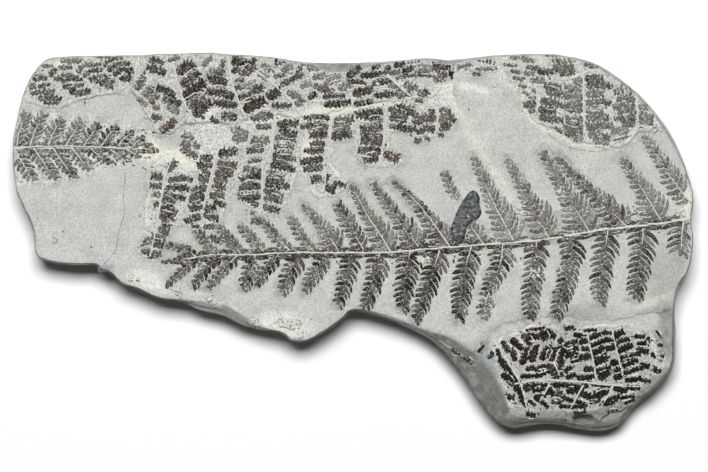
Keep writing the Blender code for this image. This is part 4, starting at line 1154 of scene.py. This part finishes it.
CORNER_BLADES = (
    (-140.5, 79.5, -135, 79.5, 1.1, 0.6), (-143.5, 75.5, -140.5, 76, 0.9, 0.7),
    (-144.5, 73.5, -137.5, 74, 1.6, 0.8), (-146, 70, -142.5, 70.5, 1.6, 0.7),
    (-142, 70, -136, 71, 1.4, 0.85), (-145.5, 67.5, -140.5, 68, 1.4, 0.75),
    (-140, 68, -134.5, 68, 1.8, 0.7), (-142, 65, -138, 65, 1.6, 0.75),
    (-139, 65, -131.5, 64, 2.2, 0.85), (-139.5, 63, -132.5, 62.5, 1.1, 0.8),
    (-136.5, 74.5, -133.5, 78.5, 1.6, 0.8), (-135, 73.5, -130.5, 74.5, 1.6, 0.75),
    (-133, 79, -126, 79, 1.4, 0.7), (-131.5, 75.5, -123.5, 74.5, 1.3, 0.85),
    (-131.5, 72, -128.5, 73, 1.4, 0.8), (-129, 73.5, -121.5, 73, 1.4, 0.85),
    (-131, 70, -125, 70.5, 1.4, 0.85), (-125.5, 70.5, -121, 71, 1.1, 0.8),
    (-128, 68, -124.5, 68.5, 1.8, 1), (-125.5, 66.5, -118, 68.5, 2, 0.85),
    (-132, 82, -122, 82, 1.8, 0.5), (-124.5, 76.5, -121, 80, 1.6, 0.7),
    (-121.5, 74.5, -118, 77.5, 1.4, 0.8), (-121, 80, -117, 80.5, 1.4, 0.7),
    (-119, 79.5, -113, 80.5, 0.9, 0.65), (-118, 77.5, -112.5, 78, 1.3, 0.8),
    (-118.5, 72.5, -116, 75, 1.4, 0.9), (-116.5, 72.5, -113.5, 72.5, 1.4, 1),
    (-114, 70.5, -110.5, 74, 1.6, 0.9), (-115.5, 75, -111, 75.5, 0.9, 0.6),
    (-112, 70.5, -108, 70.5, 2.2, 0.7), (-111, 73, -107, 72.5, 1.4, 0.8),
    (-112, 79, -109, 82.5, 1.6, 0.85), (-110.5, 77, -107, 80, 1.6, 0.85),
    (-109, 82.5, -103.5, 83, 1.1, 0.7), (-107, 80, -100, 80.5, 1.4, 0.8),
    (-108, 75, -104, 78.5, 1.8, 0.95), (-104.5, 77.5, -99, 77.5, 1.8, 0.95),
    (-105.5, 74, -99.5, 74.5, 2, 0.95), (-115.5, 83.5, -109, 83.5, 0.6, 0.85),
)
BAND_RIBS = (
    ((-81, 79.5), (-76.5, 64), (-71, 55)),
    ((-56.5, 84), (-54, 70), (-48, 55)),
    ((-44, 77.5), (-31, 67), (-23, 56.5)),
    ((15, 75.5), (21, 70), (27, 65)),
)
upper_band = Imprint(31)
for line in BAND_RIBS:
    upper_band.add_rib(line, start_width=1.1, end_width=0.9, height=0.6)
upper_band.add_coarse_blades(BAND_BLADES, film=0.7)
upper_band.finish("upper_band", carbon_film)
corner_frond = Imprint(37)
corner_frond.add_coarse_blades(CORNER_BLADES, seams=0.5, fullness=0.92, deepen=-0.1, film=0.5)
corner_frond.finish("corner_frond", carbon_film)

# ==== The hanging ferns ============================================================
# The same fern, in leaflets that run down from the upper layer towards the long frond. The
# blades are dark brown carbon with pale stems between them, set in the layer's ragged fringe.
HANGING_BLADES = (
    (-44, 52, -37, 52.5, 1.4, 0.7), (-46.5, 45.5, -38, 46.5, 2.2, 0.45, 0.4),
    (-47, 48, -54, 48.5, 3.6, 0.45), (-40, 42, -48, 41, 1.8, 0.75), (-41, 37.5, -47.5, 36, 1.4, 0.6),
    (-41, 32, -49.5, 33, 1.8, 0.65), (-41, 30, -51, 28, 2, 0.9), (-41.5, 25.5, -51.5, 24, 2.2, 0.9),
    (-41.5, 21, -52, 21, 2, 0.85), (-42.5, 16.5, -47.5, 19, 1.4, 0.8),
    (-43.5, 13, -46.5, 13.5, 1.1, 0.5), (-40.5, 9.5, -46, 10, 2, 0.65),
    (-38, 8.5, -40.5, 10.5, 1.1, 0.55), (-34.5, 53.5, -24.5, 54, 2, 0.85),
    (-33.5, 51, -25, 49, 1.8, 0.85), (-35.5, 47, -26, 46.5, 2.2, 0.8), (-36, 43, -27, 43, 1.8, 0.75),
    (-36.5, 39.5, -27.5, 40, 2, 0.85), (-36.5, 37, -26, 38, 1.8, 0.8, 0.3),
    (-37.5, 35, -26, 32.5, 1.8, 0.95), (-38.5, 32, -31, 29.5, 1.8, 0.7),
    (-39.5, 29, -31, 27.5, 1.8, 0.75), (-40, 26.5, -28.5, 25, 2, 0.85),
    (-40.5, 24, -31.5, 21, 1.8, 0.75, 0.3), (-40.5, 20, -32, 18.5, 1.8, 0.7, 0.4),
    (-41, 16.5, -33.5, 14, 1.8, 0.75), (-10.5, 56, -22.5, 56, 1.6, 0.85), (-11, 52, -24, 52, 1.8, 0.8),
    (-11.5, 48.5, -19.5, 48.5, 2.2, 0.85, 0.5), (-12.5, 44.5, -19.5, 43.5, 2, 0.8, 0.4),
    (-13, 41.5, -22.5, 41.5, 1.4, 0.85, 0.4), (-13.5, 38, -24, 36.5, 1.8, 0.9),
    (-13.5, 34, -22.5, 33, 1.8, 0.8), (-14, 29, -19, 28, 2.2, 0.85, 0.3), (-9, 54.5, 0, 56, 2.2, 0.7),
    (-9.5, 51.5, -1.5, 52, 1.6, 0.6), (-10.5, 47.5, -0.5, 49, 2.2, 0.85, 0.3),
    (-13, 26.5, -11, 31, 1.1, 0.85), (-13, 25, -8, 24, 2.2, 0.85), (-9, 27, -3, 25.5, 1.3, 0.9),
    (13.5, 59, 1.5, 57.5, 2.5, 0.9), (13.5, 55, 7, 55, 1.4, 0.6), (13.5, 52, 3, 51.5, 2.2, 0.75, 0.4),
    (13.5, 47, 3.5, 47.5, 2.5, 0.8), (13, 44.5, 3, 45.5, 1.8, 0.75), (12.5, 41, 2, 41.5, 2, 0.85),
    (11.5, 38, 4.5, 37, 2, 0.9), (13.5, 40.5, 20.5, 37, 2.2, 0.9, 0.8), (16, 61, 19, 57.5, 1.4, 0.85),
    (18, 61, 27, 60, 1.8, 0.85), (19, 58.5, 24.5, 56.5, 1.6, 0.75), (24, 59, 29, 57, 1.4, 0.85),
    (16, 56, 21.5, 56, 1.8, 0.85), (16, 52.5, 20.5, 52, 1.4, 0.8), (21, 54.5, 24, 55, 1.1, 0.8),
    (20, 52, 28.5, 51, 1.6, 0.95, 0.2), (37, 59, 34, 59, 1.4, 0.8),
    (37.5, 56, 31.5, 56, 2.2, 0.75, 0.7), (32, 56, 27, 53.5, 2, 0.75, 0.3),
    (37, 51.5, 31.5, 51, 2, 0.8), (32, 50.5, 28, 49.5, 1.4, 0.85), (31, 46, 27.5, 46.5, 1.4, 0.7),
    (34, 47, 32, 47, 0.9, 0.5), (38.5, 59.5, 44, 58.5, 1.6, 0.7), (43, 57.5, 46, 54.5, 1.4, 0.85),
    (38, 55, 42.5, 56, 2, 0.5, 0.6), (39, 52.5, 44, 54, 1.8, 0.85), (38.5, 50.5, 43.5, 52, 1.6, 0.7),
    (38, 49, 41, 48, 0.8, 0.8), (-70, 38, -77.5, 42.5, 1.6, 0.65), (-73, 43, -77.5, 45, 1.6, 0.55),
    (-72, 46, -76.5, 49, 2.2, 0.45), (-69.5, 42, -72, 45, 1.4, 0.5), (-85.5, 29.5, -91, 30, 1.8, 0.85),
    (-85.5, 25.5, -91.5, 26, 1.6, 0.8), (-86.5, 21.5, -90, 22, 1.4, 0.6),
    (-87, 17.5, -90, 17, 1.4, 0.7), (-84, 32, -80, 37, 1.8, 0.7, 0.3), (-83.5, 28, -76.5, 29, 1.6, 0.8),
    (-81, 29, -72, 28, 1.4, 0.8), (-84.5, 25, -80, 24, 1.8, 0.8), (-81, 25.5, -73.5, 24, 1.6, 0.95),
    (-85.5, 22.5, -80.5, 20, 1.8, 0.7), (-81.5, 21, -75.5, 19.5, 1.4, 0.9),
    (-86.5, 19.5, -80.5, 17.5, 1.8, 0.8), (-87.5, 15.5, -79.5, 13, 2.2, 0.85),
    (-87.5, 12, -81, 11, 2, 0.8), (-86.5, 9.5, -82.5, 7, 1.6, 0.8), (-88, 6.5, -83, 4.5, 1.6, 0.75),
    (-91, 3, -84.5, 2, 2.2, 0.8, 0.3), (-91, -0.5, -85.5, -1.5, 1.8, 0.8),
    (-91.5, 2.5, -94.5, -2, 1.6, 0.6), (-91, -3.5, -95.5, -4, 1.4, 0.8), (-93, -6, -86.5, -5, 1.8, 0.8),
    (-63, 38.5, -69, 38, 1.6, 0.85), (-63, 35.5, -70.5, 34.5, 2, 0.85),
    (-64, 31.5, -69.5, 29.5, 1.6, 0.75), (-64.5, 28.5, -69.5, 27.5, 1.6, 0.6),
    (-65.5, 25, -73, 23, 2, 0.85, 0.3), (-66.5, 21, -74, 19.5, 2.2, 0.9),
    (-67.5, 16.5, -74, 15.5, 2, 0.85, 0.4), (-68.5, 12, -76, 9.5, 1.8, 0.85, 0.2),
    (-69, 7.5, -73, 7.5, 1.1, 0.8), (-61, 39.5, -52, 41, 2.2, 0.9),
    (-61.5, 35.5, -52.5, 34.5, 2.5, 0.75, 0.4), (-62.5, 31.5, -54, 31, 2, 0.75, 0.5),
    (-63, 28.5, -57, 28.5, 1.8, 0.7, 0.3), (-64, 25, -57.5, 25, 2, 0.75, 0.5),
    (-65, 21, -58, 21, 2, 0.75, 0.5), (-63, 18.5, -57.5, 16.5, 1.3, 0.85),
    (-67.5, 16, -61.5, 15.5, 1.8, 0.9), (-67.5, 13, -60.5, 11, 2, 0.9), (-67.5, 7, -61.5, 7, 1.4, 0.75),
)
HANGING_RIBS = (
    ((-35, 56), (-37, 43), (-40.5, 34), (-41, 22.5), (-41, 13.5)),
    ((-9.5, 57), (-11, 39.5), (-13.5, 22.5)),
    ((15, 64.5), (14.5, 53), (13.5, 42)),
    ((38, 61), (38, 55.5), (37.5, 49.5)),
    ((-81.5, 38), (-84.5, 30.5), (-86.5, 20), (-88.5, 7.5), (-91.5, -6)),
    ((-61, 42), (-65, 26), (-68, 13)),
)
hanging_ferns = Imprint(41)
for line in HANGING_RIBS:
    hanging_ferns.add_rib(line, start_width=1.1, end_width=0.7, height=0.55)
hanging_ferns.add_coarse_blades(HANGING_BLADES, deepen=-0.08, film=0.5)
hanging_ferns.finish("hanging_ferns", carbon_film)

# ==== The island ===================================================================
# A raised flake of shale at the upper right, left from the layer above. The coarse blades in
# its top are worn, so their carbon is greyer and the ridges between them are few.
ISLAND_BLADES = (
    (75.5, 83.5, 81.5, 81.5, 1.6, 0.5), (77.5, 79, 84.5, 78.5, 1.1, 0.8),
    (76.5, 76.5, 81.5, 76, 1.1, 0.5), (82.5, 77, 90, 77, 1.6, 0.9), (87, 84.5, 93.5, 84.5, 0.9, 0.7),
    (88.5, 82.5, 99.5, 82.5, 2.2, 0.6), (89.5, 79, 99, 79, 2, 0.65), (92.5, 76, 100, 77, 1.6, 0.75),
    (103.5, 80.5, 110.5, 79, 0.9, 0.65), (79.5, 73, 86.5, 72.5, 1.4, 0.6),
    (85.5, 70.5, 93.5, 70, 1.8, 0.8), (86.5, 68.5, 96, 66.5, 1.8, 0.7), (84, 64, 93.5, 62, 2.2, 0.8),
    (83, 60, 91, 59, 1.8, 0.85, 0.3), (83.5, 56.5, 94.5, 55, 1.8, 0.8, 0.3),
    (82.5, 65, 78.5, 65, 1.1, 0.6), (82.5, 62.5, 76.5, 62, 1.6, 0.85), (82, 60, 79, 59, 1.1, 0.75),
    (90.5, 52, 94, 49.5, 0.9, 0.7), (80, 69, 83, 67.5, 0.9, 0.5), (103.5, 73, 99, 72, 2, 0.6),
    (103.5, 69, 95, 70, 1.6, 0.45), (103.5, 65, 94, 66.5, 2.5, 0.55),
    (103.5, 62, 93.5, 61.5, 1.6, 0.65), (103.5, 59.5, 95, 60.5, 2, 0.6),
    (103.5, 55.5, 95.5, 55.5, 2.2, 0.6), (103.5, 52, 94.5, 52, 1.8, 0.75),
    (103.5, 49.5, 95, 49.5, 1.8, 0.65), (103.5, 47, 99, 47, 1.4, 0.4), (104, 74, 112.5, 74, 2, 0.8),
    (104.5, 70.5, 117, 70, 1.8, 0.75), (104.5, 67, 112.5, 67, 2.2, 0.55),
    (110.5, 64.5, 116, 62.5, 1.6, 0.75), (104.5, 63, 110.5, 62.5, 1.8, 0.6),
    (104.5, 59.5, 112.5, 59, 2, 0.6), (104.5, 56, 115, 56, 2, 0.6), (104.5, 52, 117, 53, 2, 0.65),
    (105.5, 49, 115.5, 47, 2.2, 0.6), (107.5, 46, 115, 45, 1.4, 0.35), (126, 68, 117, 67.5, 1.8, 0.6),
    (127, 64, 118.5, 64.5, 1.8, 0.65), (127, 61, 116.5, 61, 1.8, 0.65),
    (127.5, 58.5, 119, 59, 1.8, 0.6), (127.5, 56, 117, 56, 1.4, 0.75), (127, 53, 121, 53.5, 1.8, 0.65),
    (124, 50.5, 116, 50, 1.8, 0.35), (128, 61.5, 132.5, 61, 1.6, 0.4), (128, 58, 135, 56, 2, 0.5),
    (128.5, 54.5, 135, 53.5, 1.1, 0.4), (117, 46, 124, 48, 0.5, 0.6),
)
ISLAND_RIBS = (
    ((103.5, 76), (103.5, 64.5), (104, 49)),
    ((82.5, 69), (83, 58.5)),
    ((127.5, 67), (128, 54)),
    ((106.5, 77.5), (98.5, 74), (90.5, 73.5)),
)
island_ferns = Imprint(43)
for line in ISLAND_RIBS:
    island_ferns.add_rib(line, start_width=0.9, end_width=0.6, height=0.5)
island_ferns.add_coarse_blades(ISLAND_BLADES, seams=0.4, deepen=-0.15, film=0.5)
island_ferns.finish("island_ferns", carbon_film)

# ==== The lower lobe ===============================================================
# A lower bed at the bottom right, bared where the upper beds broke off. The carbon in it is
# nearly black, and white mineral fills the gaps between the blades.
LOBE_BLADES = (
    (64.5, -47.5, 66.5, -52.5, 1.1, 0.55), (63, -49, 61, -52, 1.1, 0.6), (67, -44, 70, -49.5, 1.4, 0.5),
    (71, -43, 74, -46.5, 1.8, 0.9), (73, -45.5, 76.5, -48, 1.4, 0.85), (76, -41, 80, -46.5, 1.8, 0.6),
    (78, -41.5, 84, -42.5, 1.6, 0.8, 0.4), (77.5, -39.5, 86.5, -38, 0.8, 0.8),
    (84.5, -39.5, 87, -44, 1.8, 0.75), (86.5, -39, 91, -43, 1.8, 0.9),
    (73, -53.5, 71, -47, 1.6, 0.85, 0.4), (75.5, -55, 79, -47, 1.8, 0.9, 0.4),
    (80, -54, 83, -46, 1.8, 0.8, 0.4), (84.5, -53, 88, -47, 2, 0.85, 0.5),
    (89, -53.5, 91, -47, 2, 0.85, 0.4), (93, -53, 94.5, -48, 1.4, 0.8), (65.5, -52, 69, -57, 1.8, 0.9),
    (68.5, -55, 71, -58.5, 1.1, 0.85), (66.5, -59, 72, -64.5, 1.6, 0.9),
    (70, -59, 75.5, -64, 1.6, 0.95), (72, -65, 76.5, -67.5, 1.8, 0.95),
    (74.5, -66.5, 76.5, -71, 1.4, 0.9), (69, -69.5, 72.5, -70, 1.4, 0.8),
    (75, -70.5, 78, -74.5, 0.9, 0.95), (77.5, -57.5, 81.5, -56, 1.4, 0.9),
    (81, -57.5, 88.5, -55.5, 1.4, 0.95), (75, -60.5, 81.5, -60, 1.1, 0.9),
    (81.5, -60.5, 88.5, -58, 1.4, 0.95), (87.5, -55.5, 91.5, -59, 2.2, 0.85, 0.5),
    (91.5, -58, 94.5, -52.5, 2, 0.8, 0.3), (89, -60.5, 94.5, -59, 1.4, 0.6),
    (95, -58.5, 98.5, -56, 1.4, 0.9), (95.5, -61, 100.5, -59.5, 1.4, 0.85),
    (92, -45, 94.5, -43.5, 1.4, 0.9), (92, -48, 94, -47, 1.4, 0.9), (94.5, -46, 101, -44, 1.4, 0.95),
    (94.5, -49, 101.5, -47.5, 1.6, 1), (95, -51.5, 101.5, -50.5, 1.3, 1),
    (97.5, -53.5, 102.5, -52, 1.4, 1), (95, -39, 99.5, -38, 1.1, 0.85), (99, -41, 105, -42.5, 1.3, 0.9),
    (101.5, -45, 106.5, -44.5, 1.4, 1), (102.5, -48, 107, -48, 1.3, 1),
    (101.5, -51.5, 107.5, -51, 1.6, 1), (103.5, -57, 108.5, -57.5, 1.8, 1),
    (100.5, -61, 109.5, -60, 1.4, 1), (103.5, -40, 110, -39.5, 0.9, 0.8),
    (106, -43.5, 111.5, -41, 1.4, 1), (106.5, -47, 112.5, -44, 1.4, 1), (107, -50, 113, -47, 1.4, 1),
    (108, -52, 114, -49.5, 1, 1), (108, -54.5, 114.5, -52, 1.8, 1), (108.5, -58.5, 116, -56, 1.6, 1),
    (110, -61, 115.5, -58.5, 1.6, 1), (111.5, -40.5, 117, -40.5, 0.9, 0.95),
    (112.5, -43.5, 118, -44.5, 1.4, 1), (113, -48, 119, -47, 1.6, 1),
    (115.5, -53.5, 120.5, -54.5, 1.8, 1), (117, -58, 121, -57.5, 1.8, 0.95),
    (117, -61, 122, -60.5, 1.4, 0.85), (117, -42.5, 122, -40, 1.8, 0.95),
    (118.5, -45.5, 124.5, -43.5, 1.4, 1), (119, -49.5, 126, -46, 1.7, 1),
    (120, -52.5, 124, -51.5, 1.4, 1), (121, -56, 126, -53.5, 1.8, 1),
    (121.5, -59, 130.5, -56.5, 1.3, 1), (122, -62, 129.5, -61, 1.4, 0.7),
    (126.5, -42, 131.5, -42.5, 1.1, 0.85), (127.5, -46, 132, -45, 1.4, 0.9),
    (124, -51, 129.5, -50, 1.3, 0.95), (127, -48.5, 133, -49, 1.6, 0.95),
    (128.5, -55, 133.5, -56, 1.6, 0.9), (125, -53, 128.5, -53.5, 1.1, 0.9),
    (129, -61.5, 134, -62.5, 1.1, 0.6), (135, -56.5, 138.5, -58.5, 1.4, 0.75),
    (134, -49.5, 137, -52, 1.1, 0.85), (132, -42.5, 134, -45, 0.9, 0.85),
    (138, -50.5, 140, -51.5, 0.9, 0.5), (137, -46, 139.5, -46.5, 0.8, 0.6),
    (136, -39.5, 138.5, -43, 0.5, 0.8), (75.5, -66, 80.5, -64.5, 2.2, 0.6),
    (80, -64, 87.5, -64, 1.1, 0.95), (88.5, -64.5, 94.5, -64.5, 1.6, 0.95),
    (93.5, -64, 102.5, -65, 1.3, 0.95), (102.5, -65.5, 105.5, -64, 1.4, 0.95),
    (107, -64, 116, -65, 0.8, 1), (80.5, -67, 86.5, -66.5, 1.4, 0.95), (81, -70, 85, -69.5, 1.6, 1),
    (83, -70.5, 88, -74.5, 1.1, 0.95), (86.5, -65.5, 90.5, -69, 1.6, 0.85),
    (85, -70, 88, -67.5, 0.9, 0.9), (90.5, -66.5, 95.5, -70.5, 2.2, 0.5),
    (89, -71.5, 94.5, -72.5, 1.4, 0.6), (92.5, -74, 98, -74, 0.9, 0.95),
    (95.5, -67, 101, -66.5, 1.4, 0.95), (95, -70, 99, -71, 1.1, 0.9),
    (100.5, -66.5, 109, -70.5, 1.8, 1), (99, -71, 105, -74, 2, 0.95),
    (108, -68.5, 113, -66.5, 1.6, 0.95), (112, -72.5, 120, -69, 2, 1),
    (116.5, -65, 123.5, -67, 1.6, 0.95), (122.5, -65, 129.5, -65.5, 1.4, 0.95),
    (120.5, -70, 127, -69.5, 0.9, 1), (106, -72, 111.5, -71, 0.8, 0.8),
    (97.5, -74, 101.5, -74, 0.9, 0.9), (77.5, -77, 82, -78, 1.4, 0.8),
    (114, -76.5, 119.5, -75.5, 0.7, 0.9), (56, -49.5, 59, -46, 0.7, 0.8),
    (109.5, -69.8, 115.5, -67.3, 1.6, 1), (78.5, -71, 82, -73.5, 0.9, 0.9), (99, -76.8, 105, -76.2, 0.6, 0.9),
    (122, -72.5, 127, -70.5, 0.7, 0.9),
)
LOBE_RIBS = (
    ((109.5, -62), (107, -49.5), (105, -40)),
    ((122, -63), (119, -50.5), (116.5, -39.5)),
    ((137, -52.5), (133.5, -43.5)),
    ((88, -64), (84, -71.5)),
    ((103.5, -64), (98, -74.5)),
    ((117, -64.5), (112, -73)),
    ((68, -51), (75, -63), (78.5, -76)),
    ((90, -53.5), (93, -60)),
)
LOBE_STALK = ((72.5, -63.5), (84, -62), (98.5, -62.5), (114, -64), (130, -65))
lobe_ferns = Imprint(47)
for line in LOBE_RIBS:
    lobe_ferns.add_rib(line, start_width=0.9, end_width=0.6, height=0.5)
lobe_ferns.add_rib(LOBE_STALK, start_width=1.0, end_width=0.7, height=0.6, whiteness=0.75)
lobe_ferns.add_coarse_blades(LOBE_BLADES, seams=0.95, fullness=1.03, deepen=0.5, film=0.65, body=0.95,
                             fringe=0.6, redden=0.0, crumbs=3)
lobe_ferns.finish("lobe_ferns", carbon_film)

# ==== Chips and shade lines ========================================================
# White flakes of mineral where the film has come away, and lines of painted shade in the
# hairlines, pit and slits that the split left in the stone and under two layers' edges. The
# flakes lie on the face, and the dark lines are sunk in it.
CHIPS = (  # x, y, half length, half width, turn
    (-79, -22, 3.5, 2, -30), (-62.5, -26.5, 5, 2, -30), (-44.5, -35.5, 4.5, 2.2, -40),
    (-29, -36, 7, 2.6, -5), (-24, -42, 3.5, 1.5, 20),
    (31.3, -8.6, 3.2, 2.0, 10), (81.7, -13.7, 2.6, 2.2, 30), (-32.2, 45, 1.2, 0.8, 0),
    (11.9, 71, 1.0, 0.6, 20), (63.7, 71.1, 0.7, 0.4, 0), (67.3, 66.6, 0.6, 0.4, 0),
    (93, 23.5, 3.6, 0.7, -60), (75, 14.5, 3.8, 1.4, -52), (147.2, 13.5, 2.8, 1.6, 15),
    (137, 51.2, 2.2, 1.2, -10), (-100, -15.5, 3.0, 1.2, -20), (-35, -41, 2.5, 0.8, -15),
)
# Lines of painted shade: in the hairline cracks, the notch's crack and the slit on the slope, and under the
# edges of the corner layer and the island.
CRACK_AND_LEDGE_SHADE = (  # width, then the line
    (0.42, ((-102.4, 31.5), (-103.3, 20.3), (-102.8, 14), (-105.5, 5), (-106.9, -3.2), (-112.3, -9.5))),
    (1.9, ((43.4, 80.1), (43.9, 76.5), (44.3, 73.3))),
    (0.35, ((60.5, -64.6), (62.4, -68.2), (65.7, -72.4))),
    (0.7, ((-120.5, 65.4), (-120.9, 63.4), (-120.5, 61.2))),
    (0.4, ((-119.8, 64.6), (-113.7, 66.4), (-108, 66.8), (-102.8, 66.4))),
    (0.45, ((87.5, 49.5), (92, 45.4), (97.4, 42.8), (104, 41.4), (110.9, 41.2), (118, 44.4), (125.3, 48.4))),
)
# Two blades and their stem on the slope above the lobe.
SLOPE_BLADES = ((44, -47.8, 48, -50.5, 0.8, 0.8), (49.5, -51.5, 54, -54.8, 0.9, 0.8))
SLOPE_LINE = ((38.5, -44), (43.6, -47.2), (49.4, -51), (55.3, -56))
PIT = (-134.3, 0.9, 1.1)  # x, y, radius
SPECKS = (  # x, y, radius
    (-44.9, -36.5, 0.3), (-44, -38.4, 0.3), (-38.7, -39.5, 0.3), (-19.1, -34.6, 0.3),
    (-29.5, -42.4, 0.3), (-130.7, 5, 0.4), (-120.8, 63, 0.4), (-118, -2, 0.4), (52, 60, 0.4),
    (-96, 12, 0.4),
)
DEEPEST = 12  # how far below the bed the marks reach, which run down the slopes
marks = Imprint(53, lowest=BED_HEIGHT - DEEPEST)
for chip in CHIPS:
    marks.add_chip(*chip)
for width, line in CRACK_AND_LEDGE_SHADE:
    marks.add_shade_line(line, width)
marks.add_coarse_blades(SLOPE_BLADES)
marks.add_rib(SLOPE_LINE, start_width=0.45, end_width=0.3, height=0.2, whiteness=0.6)
# The pit shows only as a ring of painted shade.
pit_x, pit_y, pit_radius = PIT
turns = np.radians(np.arange(0, 341, 20))
pit_ring = np.column_stack((pit_x + pit_radius * np.cos(turns), pit_y + pit_radius * np.sin(turns)))
marks.add_shade_line(pit_ring, width=0.7, step=0.3)
for x, y, radius in SPECKS:
    marks.add_blade((x - radius, y), (x + radius, y), half_width=radius, darkness=1.0, height=0.25)
# The shade lines take the carbon film's material at its darkest.
marks.finish("chips_and_shade_lines", carbon_film)

# ==== Floor, light and camera ========================================================
# A white table top under soft daylight that comes from the slab's straighter side. The camera
# looks straight down from well above, so that the slab's sides hardly show.
FLOOR_REACH = 3.0  # metres each way
TABLE_WHITE = (0.685, 0.685, 0.685, 1.0)
SOFTBOX_SIZE = (3.0, 2.13)  # metres
SOFTBOX_PLACE = (-0.2, 2.3, 6.0)
SOFTBOX_POWER = 692.0
ROOM_LIGHT = 0.05
VIEW_WIDTH = 318.6 * MILLIMETRE  # of the split face
VIEW_CENTRE = (0.0003, 0.003)
LENS = 300.0

floor_mesh = bpy.data.meshes.new("floor")
corners = [(x * FLOOR_REACH, y * FLOOR_REACH, 0) for x, y in ((-1, -1), (1, -1), (1, 1), (-1, 1))]
floor_mesh.from_pydata(corners, [], [(0, 1, 2, 3)])
floor = bpy.data.objects.new("floor", floor_mesh)
bpy.context.scene.collection.objects.link(floor)
floor_material, _, floor_shader = new_material("white_table", roughness=0.9)
floor_shader.inputs["Base Color"].default_value = TABLE_WHITE
floor_mesh.materials.append(floor_material)

softbox_data = bpy.data.lights.new("softbox", "AREA")
softbox_data.shape = "RECTANGLE"
softbox_data.size, softbox_data.size_y = SOFTBOX_SIZE
softbox_data.energy = SOFTBOX_POWER
softbox = bpy.data.objects.new("softbox", softbox_data)
softbox.location = SOFTBOX_PLACE
bpy.context.scene.collection.objects.link(softbox)
world = bpy.data.worlds.new("room")
world.use_nodes = True
background = world.node_tree.nodes["Background"]
background.inputs["Color"].default_value = (1.0, 1.0, 1.0, 1.0)
background.inputs["Strength"].default_value = ROOM_LIGHT
bpy.context.scene.world = world
bpy.context.scene.view_settings.view_transform = "Standard"

camera_data = bpy.data.cameras.new("camera")
camera_data.lens = LENS
camera = bpy.data.objects.new("camera", camera_data)
camera_height = BED_HEIGHT * MILLIMETRE + VIEW_WIDTH * LENS / camera_data.sensor_width
camera.location = (*VIEW_CENTRE, camera_height)
bpy.context.scene.collection.objects.link(camera)
bpy.context.scene.camera = camera
